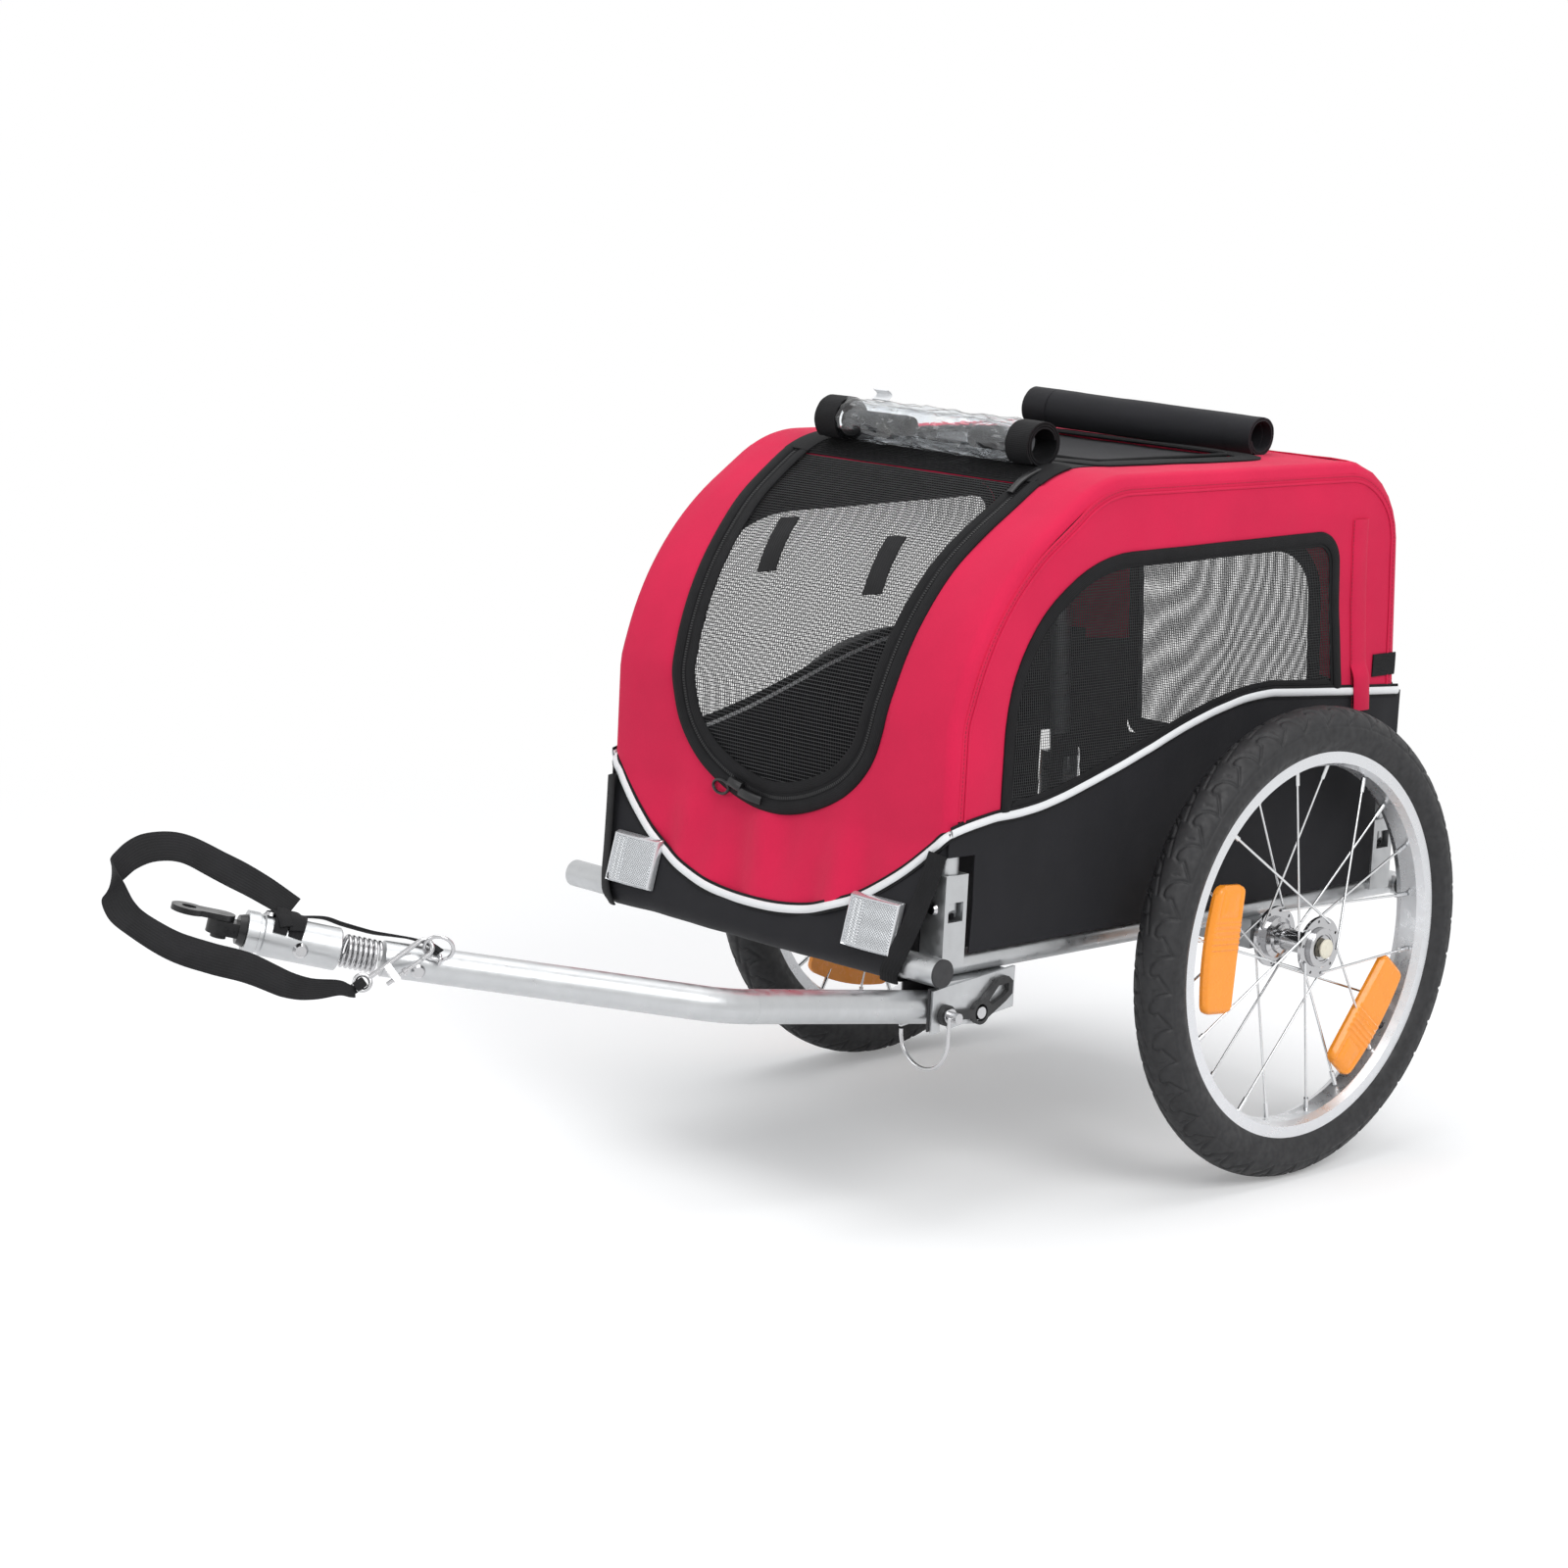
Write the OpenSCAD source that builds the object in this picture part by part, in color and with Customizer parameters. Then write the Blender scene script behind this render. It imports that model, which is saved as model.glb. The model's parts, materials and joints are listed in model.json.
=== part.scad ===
// Dog bike trailer: folding tube frame, fabric cabin, two spoked wheels and a drawbar with a
// spring hitch. Every piece is drawn about the point on the ground under the axle, with the
// drawbar running towards -Y and the left side at +X, and at_axle() then moves it so that the
// origin is the middle of the trailer's footprint.

/* [Wheels] */
// Outer radius of a tyre
tyre_r = 195; // [185:1:205]
// Radius of the tyre's round section
tyre_section_r = 21; // [19:0.5:22]
// Distance of each wheel's middle plane from the trailer's middle
wheel_x = 237; // [232:1:245]
// Number of spokes in a wheel
spoke_count = 20; // [12:4:28]
// Radius of the wheel axles
axle_r = 6; // [5:0.5:6.5]

/* [Frame] */
// Distance of each side tube and hoop from the trailer's middle
side_x = 178; // [175:1:182]
// Height of the base frame's tubes
base_z = 212; // [210:1:214]
// Radius of the side and rear tubes
side_tube_r = 9.5; // [8:0.5:10]
// Radius of the front cross tube
front_tube_r = 11; // [10:0.5:11.5]
// Radius of the hoop tubes
hoop_r = 9.25; // [8:0.25:9.25]
// Height of the axes that the hoops fold about
hinge_z = 256; // [252:1:260]

/* [Cover] */
// Thickness of the fabric panels
fabric = 2; // [1.5:0.5:2]
// Height of the roof
roof_z = 578; // [570:1:590]
// Half the width of the front, roof and rear panels
cover_x = 187.8; // [187.8:0.1:189]
// Half the width of the front door at its foot
door_foot_x = 108; // [100:1:115]
// Half the width of the front door at its top
door_top_x = 133; // [125:1:140]
// Radius of the rolled clear cover
clear_roll_r = 22.5; // [18:0.5:24]
// Radius of the rolled black cover
black_roll_r = 19; // [15:0.5:22]

/* [Drawbar] */
// Radius of the drawbar
bar_r = 12.7; // [12:0.1:12.8]
// Slope of the drawbar where it leaves its bracket
bar_pitch = 8; // [6:0.5:10]
// Distance from the fold bolt to the drawbar's bend
bar_bend_at = 250.5; // [235:0.5:265]
// Length of the drawbar past its bend
bar_reach = 253.5; // [240:0.5:260]
// Curls of the hitch spring
spring_curls = 7; // [5:1:8]

/* [Hidden] */
$fn = 64;

// Where the origin lies, measured from the point under the axle
axle_y = 398.3;
axle_z = tyre_r;
gap = 0.3;
run_fit = 0.05;

// Base frame
front_tube_y = -384;
rear_tube_y = 198;
front_post_y = -362.35;
rear_post_y = 167;
post = 24;
post_wall = 2.4;
front_post_top = 283;
rear_post_top = 272;
tube_wall = 1.6;
beam = 24;
beam_x = 196;

// Cover profile in the Y-Z plane: straight length, turn, radius of the turn
front_y = -374;
front_turn_z = 388;
cover_steps = [[15, 39, 223], [35, 34, 110], [272.9, 85.6, 75]];
lean = 85.6;
skirt_top = [front_y, 305];

// Wheel
ring_r = tyre_r - tyre_section_r;
rim_in = 147;
rim_out = 161;
rim_half = 14.5;
flange_r = 25;
// Thin middle of the hub between its flanges
barrel_r = 8.8;
flange_out = 21;
flange_in = -27;
spoke_r = 1;

// Drawbar and coupler directions: yaw towards the right side, pitch up
bar_yaw = 27.4;
bar_pitch_2 = 9.3;
coupler_yaw = 28.4;
coupler_pitch = 12.5;
fold_y = -337;
fold_z = 175.3;
pin_y = -374;
bolt_r = 4;
bend_r = 90;
function heading(yaw, pitch) = [-sin(yaw) * cos(pitch), -cos(yaw) * cos(pitch), sin(pitch)];
fold_at = [side_x, fold_y, fold_z];
bar_dir_1 = heading(0, bar_pitch);
bar_dir_2 = heading(bar_yaw, bar_pitch_2);
bar_bend = acos(bar_dir_1 * bar_dir_2);
bar_roll = -atan2(bar_dir_2 * [0, sin(bar_pitch), cos(bar_pitch)], bar_dir_2 * [-1, 0, 0]);
bend_cut = bend_r * tan(bar_bend / 2);
bar_corner = fold_at + bar_bend_at * bar_dir_1;
coupler_at = bar_corner + bar_reach * bar_dir_2;
pin_z = 178;

// Rods and tubes along the axes
module rod_x(x0, x1, r) { rotate([0, 90, 0]) translate([0, 0, x0]) cylinder(h = x1 - x0, r = r); }
module rod_y(y0, y1, r) { rotate([-90, 0, 0]) translate([0, 0, y0]) cylinder(h = y1 - y0, r = r); }
module tube_x(x0, x1, r, bore) { difference() { rod_x(x0, x1, r); rod_x(x0 - 1, x1 + 1, bore); } }
module both_sides() { children(); mirror([1, 0, 0]) children(); }
module at_axle() { translate([0, axle_y, 0]) children(); }

// A drawing in the Y-Z plane given thickness along X
module along_x(x0, x1) {
    translate([x0, 0, 0]) rotate([90, 0, 90]) linear_extrude(x1 - x0) children();
}
// A drawing in the X-Z plane given thickness along Y
module along_y(y0, y1) {
    translate([0, y1, 0]) rotate([90, 0, 0]) linear_extrude(y1 - y0) children();
}

// Points along a path of straights and clockwise turns, moved inwards by off
function last(v) = v[len(v) - 1];
function walk(steps, p, h, off, i = 0) =
    i == len(steps) ? [p] :
    let (s = steps[i], q = p + s[0] * [cos(h), sin(h)], r = s[2] - off,
         c = q + r * [sin(h), -cos(h)], n = max(1, ceil(s[1] / 6)),
         arc = s[1] == 0 ? [q] : [for (k = [0:n]) c + r * [-sin(h - s[1] * k / n), cos(h - s[1] * k / n)]])
    concat([p], s[1] == 0 ? [] : [for (k = [0:n - 1]) arc[k]], walk(steps, last(arc), h - s[1], off, i + 1));

// Where each straight and bend of a path lies: start, heading, step, centre of the bend
function bends(steps, p, h, i = 0) = i == len(steps) ? [] :
    let (s = steps[i], c = p + s[0] * [cos(h), sin(h)] + s[2] * [sin(h), -cos(h)],
         q = c + s[2] * [-sin(h - s[1]), cos(h - s[1])])
    concat([[p, h, s, c]], bends(steps, q, h - s[1], i + 1));
// A bent rod: it starts along +X and turns clockwise, seen from +Z. Each bend laps its straights
bend_thin = 0.08;
bend_lap = 0.5;
module bent_rod(steps, r) {
    for (b = bends(steps, [0, 0], 0)) {
        s = b[2];
        translate([b[0][0], b[0][1], 0]) rotate(b[1]) rod_x(0, s[0], r);
        if (s[1] > 0) {
            extra = bend_lap * 57.3 / s[2];
            translate([b[3][0], b[3][1], 0]) rotate(b[1] + 90 - s[1] - extra)
                rotate_extrude(angle = s[1] + 2 * extra) translate([s[2], 0]) circle(r - bend_thin);
        }
    }
}
module bent_tube(steps, r, bore) {
    difference() {
        bent_rod(steps, r);
        bent_rod(steps, bore);
    }
}

// Base frame tubes
module front_cross_tube() {
    color("silver") translate([0, front_tube_y, base_z]) tube_x(-218, 199, front_tube_r, front_tube_r - tube_wall);
}
module rear_cross_tube() {
    color("silver") translate([0, rear_tube_y, base_z]) tube_x(-190, 190, side_tube_r, side_tube_r - tube_wall);
}
module left_side_tube() {
    color("silver") difference() {
        translate([side_x, 0, base_z]) rod_y(front_tube_y, rear_tube_y, side_tube_r);
        translate([side_x, 0, base_z]) rod_y(front_tube_y - 1, rear_tube_y + 1, side_tube_r - tube_wall);
        translate([0, front_tube_y, base_z]) rod_x(100, 250, front_tube_r + 0.02);
        translate([0, rear_tube_y, base_z]) rod_x(100, 250, side_tube_r + 0.02);
    }
}
module right_side_tube() { mirror([1, 0, 0]) left_side_tube(); }
module axle_beam() {
    color("gray") difference() {
        translate([-beam_x, -beam / 2, axle_z - beam / 2]) cube([2 * beam_x, beam, beam]);
        translate([-150, -beam / 2 + 2, axle_z - beam / 2 + 2]) cube([300, beam - 4, beam - 4]);
        translate([0, 0, axle_z]) rod_x(-250, 250, axle_r + run_fit);
        both_sides() translate([side_x, 0, base_z]) rod_y(-50, 50, side_tube_r + 0.05);
    }
}
module end_cap(r, bore) {
    rod_x(0, 2, r);
    rod_x(-12, 0.1, bore - 0.1);
}
module tube_end_caps() {
    color("dimgray") {
        translate([199, front_tube_y, base_z]) end_cap(front_tube_r, front_tube_r - tube_wall);
        both_sides() translate([190, rear_tube_y, base_z]) end_cap(side_tube_r, side_tube_r - tube_wall);
    }
}

// A square post, open inwards above its seat, that a hoop's leg folds out of
module hinge_post(y, width, top) {
    cavity = width - 2 * post_wall;
    difference() {
        translate([side_x - post / 2, y - width / 2, base_z]) cube([post, width, top - base_z]);
        translate([side_x - post, y - cavity / 2, hinge_z - 10.5]) cube([1.5 * post - post_wall, cavity, 99]);
        translate([side_x - post / 2 + post_wall, y - cavity / 2, base_z - 1])
            cube([post - 2 * post_wall, cavity, hinge_z - 14 - base_z]);
        translate([side_x, 0, base_z]) rod_y(y - 30, y + 30, side_tube_r + 0.05);
        translate([side_x, y, hinge_z]) rod_y(-30, 30, 3 + run_fit);
        translate([side_x + 5, y - 8, hinge_z - 9]) cube([20, 16, 15]);
        translate([0, front_tube_y, base_z]) rod_x(100, 250, front_tube_r + 0.1);
        translate([0, rear_tube_y, base_z]) rod_x(100, 250, side_tube_r + 0.1);
    }
}
module left_hinge_posts() {
    color("silver") {
        hinge_post(front_post_y, post, front_post_top);
        hinge_post(rear_post_y, post + 2, rear_post_top);
    }
}
module right_hinge_posts() { mirror([1, 0, 0]) left_hinge_posts(); }
module hinge_screw(y, length, side) {
    translate([side_x, y, hinge_z]) {
        rod_y(-length / 2, length / 2, 3);
        translate([0, side * (length / 2 - 0.1), 0]) rotate([-90 * side, 0, 0]) cylinder(h = 2.4, r1 = 5, r2 = 3.6);
        translate([0, -side * (length / 2 - 0.1), 0]) rotate([90 * side, 0, 0]) cylinder(h = 3, r = 5, $fn = 6);
    }
}
module hinge_screws() {
    color("lightgray") both_sides() {
        hinge_screw(front_post_y, post + 0.4, -1);
        hinge_screw(rear_post_y, post + 2.4, 1);
    }
}

// The hoop's middle line lies inside the cover, so that it folds without touching it. Its feet
// reach down to the hinge screws and their corners are cut so that they turn inside the posts.
hoop_in = fabric + 0.4 + hoop_r;
hoop_foot = 7;
hoop_leg = 253.3 + hoop_foot;
hoop_steps = concat([[front_turn_z - hinge_z + hoop_foot, 17, 60 - hoop_in]],
    [for (s = cover_steps) [s[0], s[1], s[2] - hoop_in]], [[hoop_leg, 0, 0]]);
module foot_corners(y) {
    translate([side_x, 0, hinge_z]) both_sides() along_y(y - 20, y + 20)
        polygon([[9.9, 0.6], [9.2, -0.4], [5, -6.6], [5, -12], [16, -12], [16, 0.6]]);
}
module left_hoop() {
    color("silver") difference() {
        translate([side_x, front_y + hoop_in, hinge_z - hoop_foot]) rotate(a = 180, v = [1, 0, 1])
            bent_tube(hoop_steps, hoop_r, hoop_r - tube_wall);
        translate([side_x, 0, hinge_z]) rod_y(-400, -330, 3 + run_fit);
        translate([side_x, 0, hinge_z]) rod_y(120, 220, 3 + run_fit);
        foot_corners(front_post_y);
        foot_corners(rear_post_y);
    }
}
module right_hoop() { mirror([1, 0, 0]) left_hoop(); }

// Axles, bearings and push buttons
module axle_one() {
    translate([0, 0, axle_z]) difference() {
        union() {
            rod_x(152, wheel_x + 24, axle_r);
            rod_x(beam_x + 0.2, wheel_x + flange_in - 2.9, axle_r + 2.5);
            rod_x(wheel_x + 23.3, wheel_x + 24.3, 10);
        }
        rod_x(wheel_x, wheel_x + 40, 3 + run_fit);
    }
}
module axles() { color("lightgray") both_sides() axle_one(); }
module hub_bearings() {
    color("gray") both_sides() translate([0, 0, axle_z])
        for (x = [wheel_x + flange_in - 2.4, wheel_x + 15.5]) tube_x(x, x + 7, 10.95, axle_r + 0.02);
}
module left_axle_button() {
    color("white") translate([0, 0, axle_z]) {
        rod_x(wheel_x + 6, wheel_x + 27.5, 3);
        rod_x(wheel_x + 27.1, wheel_x + 28.3, 8);
        translate([wheel_x + 28.3, 0, 0]) rotate([0, 90, 0]) cylinder(h = 1.1, r1 = 8, r2 = 6);
    }
}
module right_axle_button() { mirror([1, 0, 0]) left_axle_button(); }

// One wheel's pieces, drawn about the axle at the left side
module at_wheel() { translate([wheel_x, 0, axle_z]) rotate([0, 90, 0]) children(); }
module left_hub() {
    color("lightgray") at_wheel() difference() {
        rotate_extrude() polygon([
            [11, flange_in - 2], [16, flange_in - 2], [16, flange_in], [flange_r, flange_in],
            [flange_r, flange_in + 3], [17, flange_in + 3], [17, flange_in + 6], [13, flange_in + 8],
            [12.5, flange_in + 11], [barrel_r, flange_in + 13], [barrel_r, flange_out - 12],
            [12.5, flange_out - 10], [13, flange_out - 7], [17, flange_out - 3], [flange_r, flange_out - 3],
            [flange_r, flange_out], [16, flange_out], [16, flange_out + 2], [11, flange_out + 2],
            [11, flange_out - 5.8], [axle_r + 1, flange_out - 5.8], [axle_r + 1, flange_in + 4.9],
            [11, flange_in + 4.9]]);
        for (k = [0:spoke_count / 2 - 1], z = [flange_in, flange_out - 3])
            rotate(k * 720 / spoke_count + (z > 0 ? 9 : -9)) translate([flange_r - 3.2, 0, z - 1])
                cylinder(h = 5, r = 1.3, $fn = 16);
    }
}
// A spoke leaves its flange at angle a0 and meets the rim at angle a1
module spoke(a0, a1, z0) {
    p = [(flange_r - 3.2) * cos(a0), (flange_r - 3.2) * sin(a0), z0];
    q = [(rim_in - 0.9) * cos(a1), (rim_in - 0.9) * sin(a1), sign(z0) * 2.5];
    d = q - p;
    long = norm(d);
    translate(p) rotate([0, acos(d[2] / long), atan2(d[1], d[0])]) {
        cylinder(h = long, r = spoke_r, $fn = 16);
        translate([0, 0, long - 12]) cylinder(h = 12, r = 2, $fn = 16);
    }
}
module left_spokes() {
    lead = 72;
    color("silver") at_wheel() for (k = [0:spoke_count / 4 - 1]) {
        step = 1440 / spoke_count;
        spoke(k * step + 9, k * step + 9 + lead, flange_out + 1.1);
        spoke(k * step + 9 + step / 2, k * step + 9 + step / 2 - lead, flange_out - 4.1);
        spoke(k * step - 9, k * step - 9 + lead, flange_in - 1.1);
        spoke(k * step - 9 + step / 2, k * step - 9 + step / 2 - lead, flange_in + 4.1);
    }
}
module left_rim() {
    color("silver") at_wheel() difference() {
        rotate_extrude($fn = 96) polygon([
            [rim_in, -8], [150, -rim_half], [rim_out, -rim_half], [rim_out, 2.1 - rim_half],
            [152.8, 2.1 - rim_half], [152.8, rim_half - 2.1], [rim_out, rim_half - 2.1],
            [rim_out, rim_half], [150, rim_half], [rim_in, 8]]);
        rotate([0, 90, valve_at]) cylinder(h = 170, r = 3.6);
    }
}
valve_at = 54;
// The beads hook inside the rim's flanges
bead_in = 155.2;
bead_a = 9.4;
module left_tyre() {
    color("black") at_wheel() rotate_extrude($fn = 96) {
        difference() {
            translate([ring_r, 0]) circle(tyre_section_r);
            translate([ring_r, 0]) circle(tyre_section_r - 2.5);
            translate([140, -30]) square([rim_out + 0.4 - 140, 60]);
        }
        for (side = [0, 1]) mirror([0, side]) {
            translate([bead_in, bead_a]) square([rim_out + 2 - bead_in, rim_half - 2.3 - bead_a]);
            translate([rim_out + 0.4, bead_a]) square([2.5, 7.6]);
        }
    }
}
tube_r = tyre_section_r - 6.2;
module left_inner_tube() {
    color("dimgray") at_wheel() {
        rotate_extrude($fn = 96) difference() {
            translate([ring_r + 3, 0]) circle(tube_r);
            translate([ring_r + 3, 0]) circle(tube_r - 1.6);
        }
        difference() {
            rotate([0, 90, valve_at]) translate([0, 0, 126]) cylinder(h = ring_r + 4.4 - tube_r - 126, r = 3.2);
            rotate([0, 90, valve_at]) translate([0, 0, 120]) cylinder(h = 28, r = 1.5);
        }
    }
}
// Spoke reflectors clipped over the spokes. Each wheel has stopped at its own turn
reflector_half = 52;
reflector_w = 40;
reflector_bow = 6;
// Its inner edge is straight, its outer edge follows the rim, and its ends are rounded
function reflector_edge(side) = [for (k = [-12:12])
    let (u = sin(k * 7.5), end = max(0, (abs(u) - 0.86) / 0.14), e = 0.7 + 0.3 * sqrt(1 - end * end))
    [side * e * reflector_w / 2 - (side > 0 ? reflector_bow * u * u : 0), u * reflector_half]];
module spoke_reflector(at, r) {
    rotate(at) translate([r, 0, 3.6]) linear_extrude(7.1)
        polygon(concat(reflector_edge(-1), reversed(reflector_edge(1))));
}
module left_reflectors() {
    color("orange") at_wheel() {
        spoke_reflector(-94.6, 109);
        spoke_reflector(50.8, 116);
    }
}
module right_reflectors() {
    color("orange") mirror([1, 0, 0]) at_wheel() {
        spoke_reflector(-14, 113);
        spoke_reflector(131, 113);
    }
}
module right_hub() { mirror([1, 0, 0]) left_hub(); }
module right_spokes() { mirror([1, 0, 0]) left_spokes(); }
module right_rim() { mirror([1, 0, 0]) left_rim(); }
module right_tyre() { mirror([1, 0, 0]) left_tyre(); }
module right_inner_tube() { mirror([1, 0, 0]) left_inner_tube(); }

// Floor and cover
module floor_board() {
    color("black") translate([-165.5, -365.5, axle_z + beam / 2 + 0.2]) cube([331, 545.5, 5]);
}
// The front skirt's fabric passes in front of the front tube and under it
function tangent_at(p, r) =
    let (d = p - [front_tube_y, base_z]) atan2(d[1], d[0]) + acos(r / norm(d));
function skirt_line(p, r) = concat([[-367, base_z - r]],
    [for (k = [0:8]) let (a = 270 - (270 - tangent_at(p, r)) * k / 8) [front_tube_y, base_z] + r * [cos(a), sin(a)]]);
function cover_line(off) =
    let (p = [front_y + off, skirt_top[1]], steps = concat([[front_turn_z - p[1], 17, 60]], cover_steps, [[304, 0, 0]]))
    concat(skirt_line(p, front_tube_r + 0.6 + fabric - off), walk(steps, p, 90, off));
function reversed(v) = [for (k = [len(v) - 1:-1:0]) v[k]];
module cover_strip(half) {
    along_x(-half, half) polygon(concat(cover_line(0), reversed(cover_line(fabric))));
}
// Height of the seam between the red and the black fabric on the front
function front_seam(x) = 230 + 84 * pow(abs(x) / cover_x, 2.4);
// Height of the seam on the sides
function side_seam(y) =
    let (t = min(1, max(0, (y + 320) / 320))) 324 + 70 * t * t * (3 - 2 * t) - max(0, y) * 0.065;
module door_outline(grow) {
    foot_z = 313;
    foot_r = door_foot_x + grow;
    polygon(concat(
        [for (k = [0:16]) let (a = 180 + k * 180 / 16) [foot_r * cos(a), foot_z + 86 + (86 + grow) * sin(a)]],
        [[door_foot_x + 8 + grow, 440], [door_top_x + grow, 530], [door_top_x + grow, 640],
         [-door_top_x - grow, 640], [-door_top_x - grow, 530], [-door_foot_x - 8 - grow, 440]]));
}
door_y = -239;
// Half the skirt's width where it passes under the front tube
skirt_x = 160.5;
module front_area() {
    intersection() {
        cover_strip(cover_x);
        translate([-300, -500, 100]) cube([600, 500 + door_y, 600]);
        along_y(-500, 0) polygon([[-skirt_x, 180], [skirt_x, 180], [skirt_x, 212], [cover_x, 303],
            [cover_x, 620], [-cover_x, 620], [-cover_x, 303], [-skirt_x, 212]]);
    }
}
seam_xs = [for (k = [-8:8]) k * cover_x / 8];
module front_skirt() {
    color("black") intersection() {
        front_area();
        along_y(-500, 0) polygon(concat([[-cover_x, 100], [cover_x, 100]],
            reversed([for (x = seam_xs) [x, front_seam(x)]])));
    }
}
module front_panel() {
    color("crimson") difference() {
        intersection() {
            front_area();
            along_y(-500, 0) polygon(concat([[cover_x, 700], [-cover_x, 700]], [for (x = seam_xs) [x, front_seam(x)]]));
        }
        along_y(-500, 0) door_outline(0.4);
    }
}
module front_door() {
    color("dimgray") intersection() {
        cover_strip(cover_x);
        translate([-300, -500, 100]) cube([600, 500 + door_y - 0.4, 600]);
        along_y(-500, 0) door_outline(0);
    }
}
module roof_panel() {
    color("crimson") difference() {
        intersection() {
            cover_strip(cover_x);
            translate([-300, door_y, 300]) cube([600, 92 - door_y, 400]);
        }
        translate([-140, -174, 500]) cube([280, 202, 200]);
    }
}
module rear_window(off) {
    r = 45 - off;
    along_y(0, 400) polygon(concat(
        [[-108 + off, 300 + off], [108 - off, 300 + off]],
        [for (k = [0:6]) [108 - off - r + r * cos(k * 15), 500 - off - r + r * sin(k * 15)]],
        [for (k = [0:6]) [-108 + off + r - r * sin(k * 15), 500 - off - r + r * cos(k * 15)]]));
}
module rear_panel() {
    color("crimson") difference() {
        intersection() {
            cover_strip(cover_x);
            translate([-300, 92, 206]) cube([600, 200, 400]);
            along_y(0, 400) polygon([[-164, 100], [164, 100], [164, 276], [cover_x, 296], [cover_x, 620],
                [-cover_x, 620], [-cover_x, 296], [-164, 276]]);
        }
        rear_window(0);
    }
}
window_at = [-319.5, 326];
function window_line(off) =
    concat([for (k = [0:10]) let (y = 85 - off - k * (404.5 - 2 * off) / 10) [y, side_seam(y) + 2 + off]],
        walk([[52 - off, 90, 138], [231, 82, 28], [94 - off, 0, 0]], window_at + [off, off], 91, off));
module side_outline() {
    polygon(concat([[152, 290], [152, 223], [-345, 223], [-345, 296], skirt_top],
        walk(concat([[front_turn_z - skirt_top[1], 17, 60]], cover_steps, [[218, 0, 0]]), skirt_top, 90, 0)));
}
module left_side_panel() {
    color("crimson") along_x(cover_x, cover_x + fabric) difference() {
        side_outline();
        polygon(window_line(0));
    }
}
module right_side_panel() { mirror([1, 0, 0]) left_side_panel(); }
module window_meshes() {
    color("dimgray") {
        both_sides() along_x(cover_x, cover_x + 1) polygon(window_line(0.3));
        intersection() {
            cover_strip(cover_x);
            translate([-300, 92, 206]) cube([600, 200, 400]);
            rear_window(0.3);
        }
    }
}
module roll(y, z, half, r, bore) {
    difference() {
        translate([0, y, z]) tube_x(-half, half, r, bore);
        translate([-300, y - 50, roof_z + 0.4 - 60]) cube([600, 100, 60]);
    }
}
module clear_cover_roll() { color("whitesmoke") roll(-212, 594, 111, clear_roll_r, 13); }
module black_cover_roll() { color("black") roll(46, 594, 116, black_roll_r, 9); }
module flag_sleeve() {
    color("crimson") translate([cover_x + fabric, 112, 455]) rotate([-5, 0, 0])
        translate([0, -11, -75]) cube([3, 22, 150]);
}
module reflector(w, h, depth, face_r) {
    intersection() {
        translate([-w / 2, -depth, -h / 2]) cube([w, depth, h]);
        translate([0, face_r - depth, -h]) cylinder(h = 2 * h, r = face_r);
    }
}
module front_reflectors() {
    color("whitesmoke") for (x = [-135, 135]) translate([x, -392.4, 239]) rotate([-14.3, 0, 0])
        reflector(53, 40, 12, 70);
}
module rear_reflectors() {
    color("red") for (x = [-132, 132]) translate([x, 181.4, 246]) rotate([-4, 0, 180]) reflector(44, 32, 9, 60);
}

// Drawbar bracket: an inverted channel under the left side tube
plate_in = 14.4;
plate_out = 17;
module plate_shape() { polygon([[-387, 164], [-297, 174], [-297, 206], [-372, 199.4], [-387, 197.6]]); }
// The lock pin leaves the bracket through a slot below its hole when the drawbar folds down
module pin_way(spare) {
    run = norm([pin_y - fold_y, pin_z - fold_z]);
    translate([side_x, fold_y, fold_z]) rotate([0, 90, 0]) rotate([0, 0, -94.2]) rotate_extrude(angle = 34)
        translate([run - bolt_r - spare, -40]) square([2 * (bolt_r + spare), 80]);
}
module drawbar_bracket() {
    color("silver") difference() {
        union() {
            for (side = [-1, 1]) translate([side_x + side * (plate_in + plate_out) / 2, 0, 0])
                along_x(-1.3, 1.3) plate_shape();
            translate([side_x - plate_in - 1, -371, 199.6]) cube([2 * plate_in + 2, 74, 2.8]);
        }
        translate([side_x, fold_y, fold_z]) rod_x(-40, 40, bolt_r + run_fit);
        translate([side_x, pin_y, pin_z]) rod_x(-40, 40, bolt_r + 0.08);
        pin_way(0.3);
        translate([0, front_tube_y, base_z]) rod_x(100, 250, front_tube_r + 0.05);
    }
}
module bracket_liner() {
    color("black") difference() {
        union() {
            for (side = [-1, 1]) translate([side_x + side * (plate_in - 0.8), 0, 0]) along_x(-0.6, 0.6)
                polygon([[-389, 166], [-300, 176], [-300, 199.2], [-389, 199.2]]);
            translate([side_x - plate_in + 0.2, -371, 198]) cube([2 * plate_in - 0.4, 70, 1.3]);
        }
        translate([side_x, fold_y, fold_z]) rod_x(-40, 40, bolt_r + 0.3);
        translate([side_x, pin_y, pin_z]) rod_x(-40, 40, bolt_r + 0.3);
        pin_way(0.4);
        translate([0, front_tube_y, base_z]) rod_x(100, 250, front_tube_r + 0.3);
    }
}
module fold_bolt() {
    color("lightgray") translate([side_x, fold_y, fold_z]) {
        rod_x(-19, 19, bolt_r);
        translate([17.1, 0, 0]) rotate([0, 90, 0]) cylinder(h = 4.6, r1 = 6.4, r2 = 4.6);
        translate([-23.1, 0, 0]) rotate([0, 90, 0]) cylinder(h = 6, r = 6.8, $fn = 6);
    }
}
bow_x = 29;
bow_y = -7;
module lock_pin() {
    color("silver") translate([side_x, pin_y, pin_z]) difference() {
        union() {
            rod_x(-24, 32.5, bolt_r);
            rod_x(21.6, 24.2, 6);
        }
        translate([bow_x, 0, 0]) rod_y(-10, 10, 1.5 + run_fit);
    }
}
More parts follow.
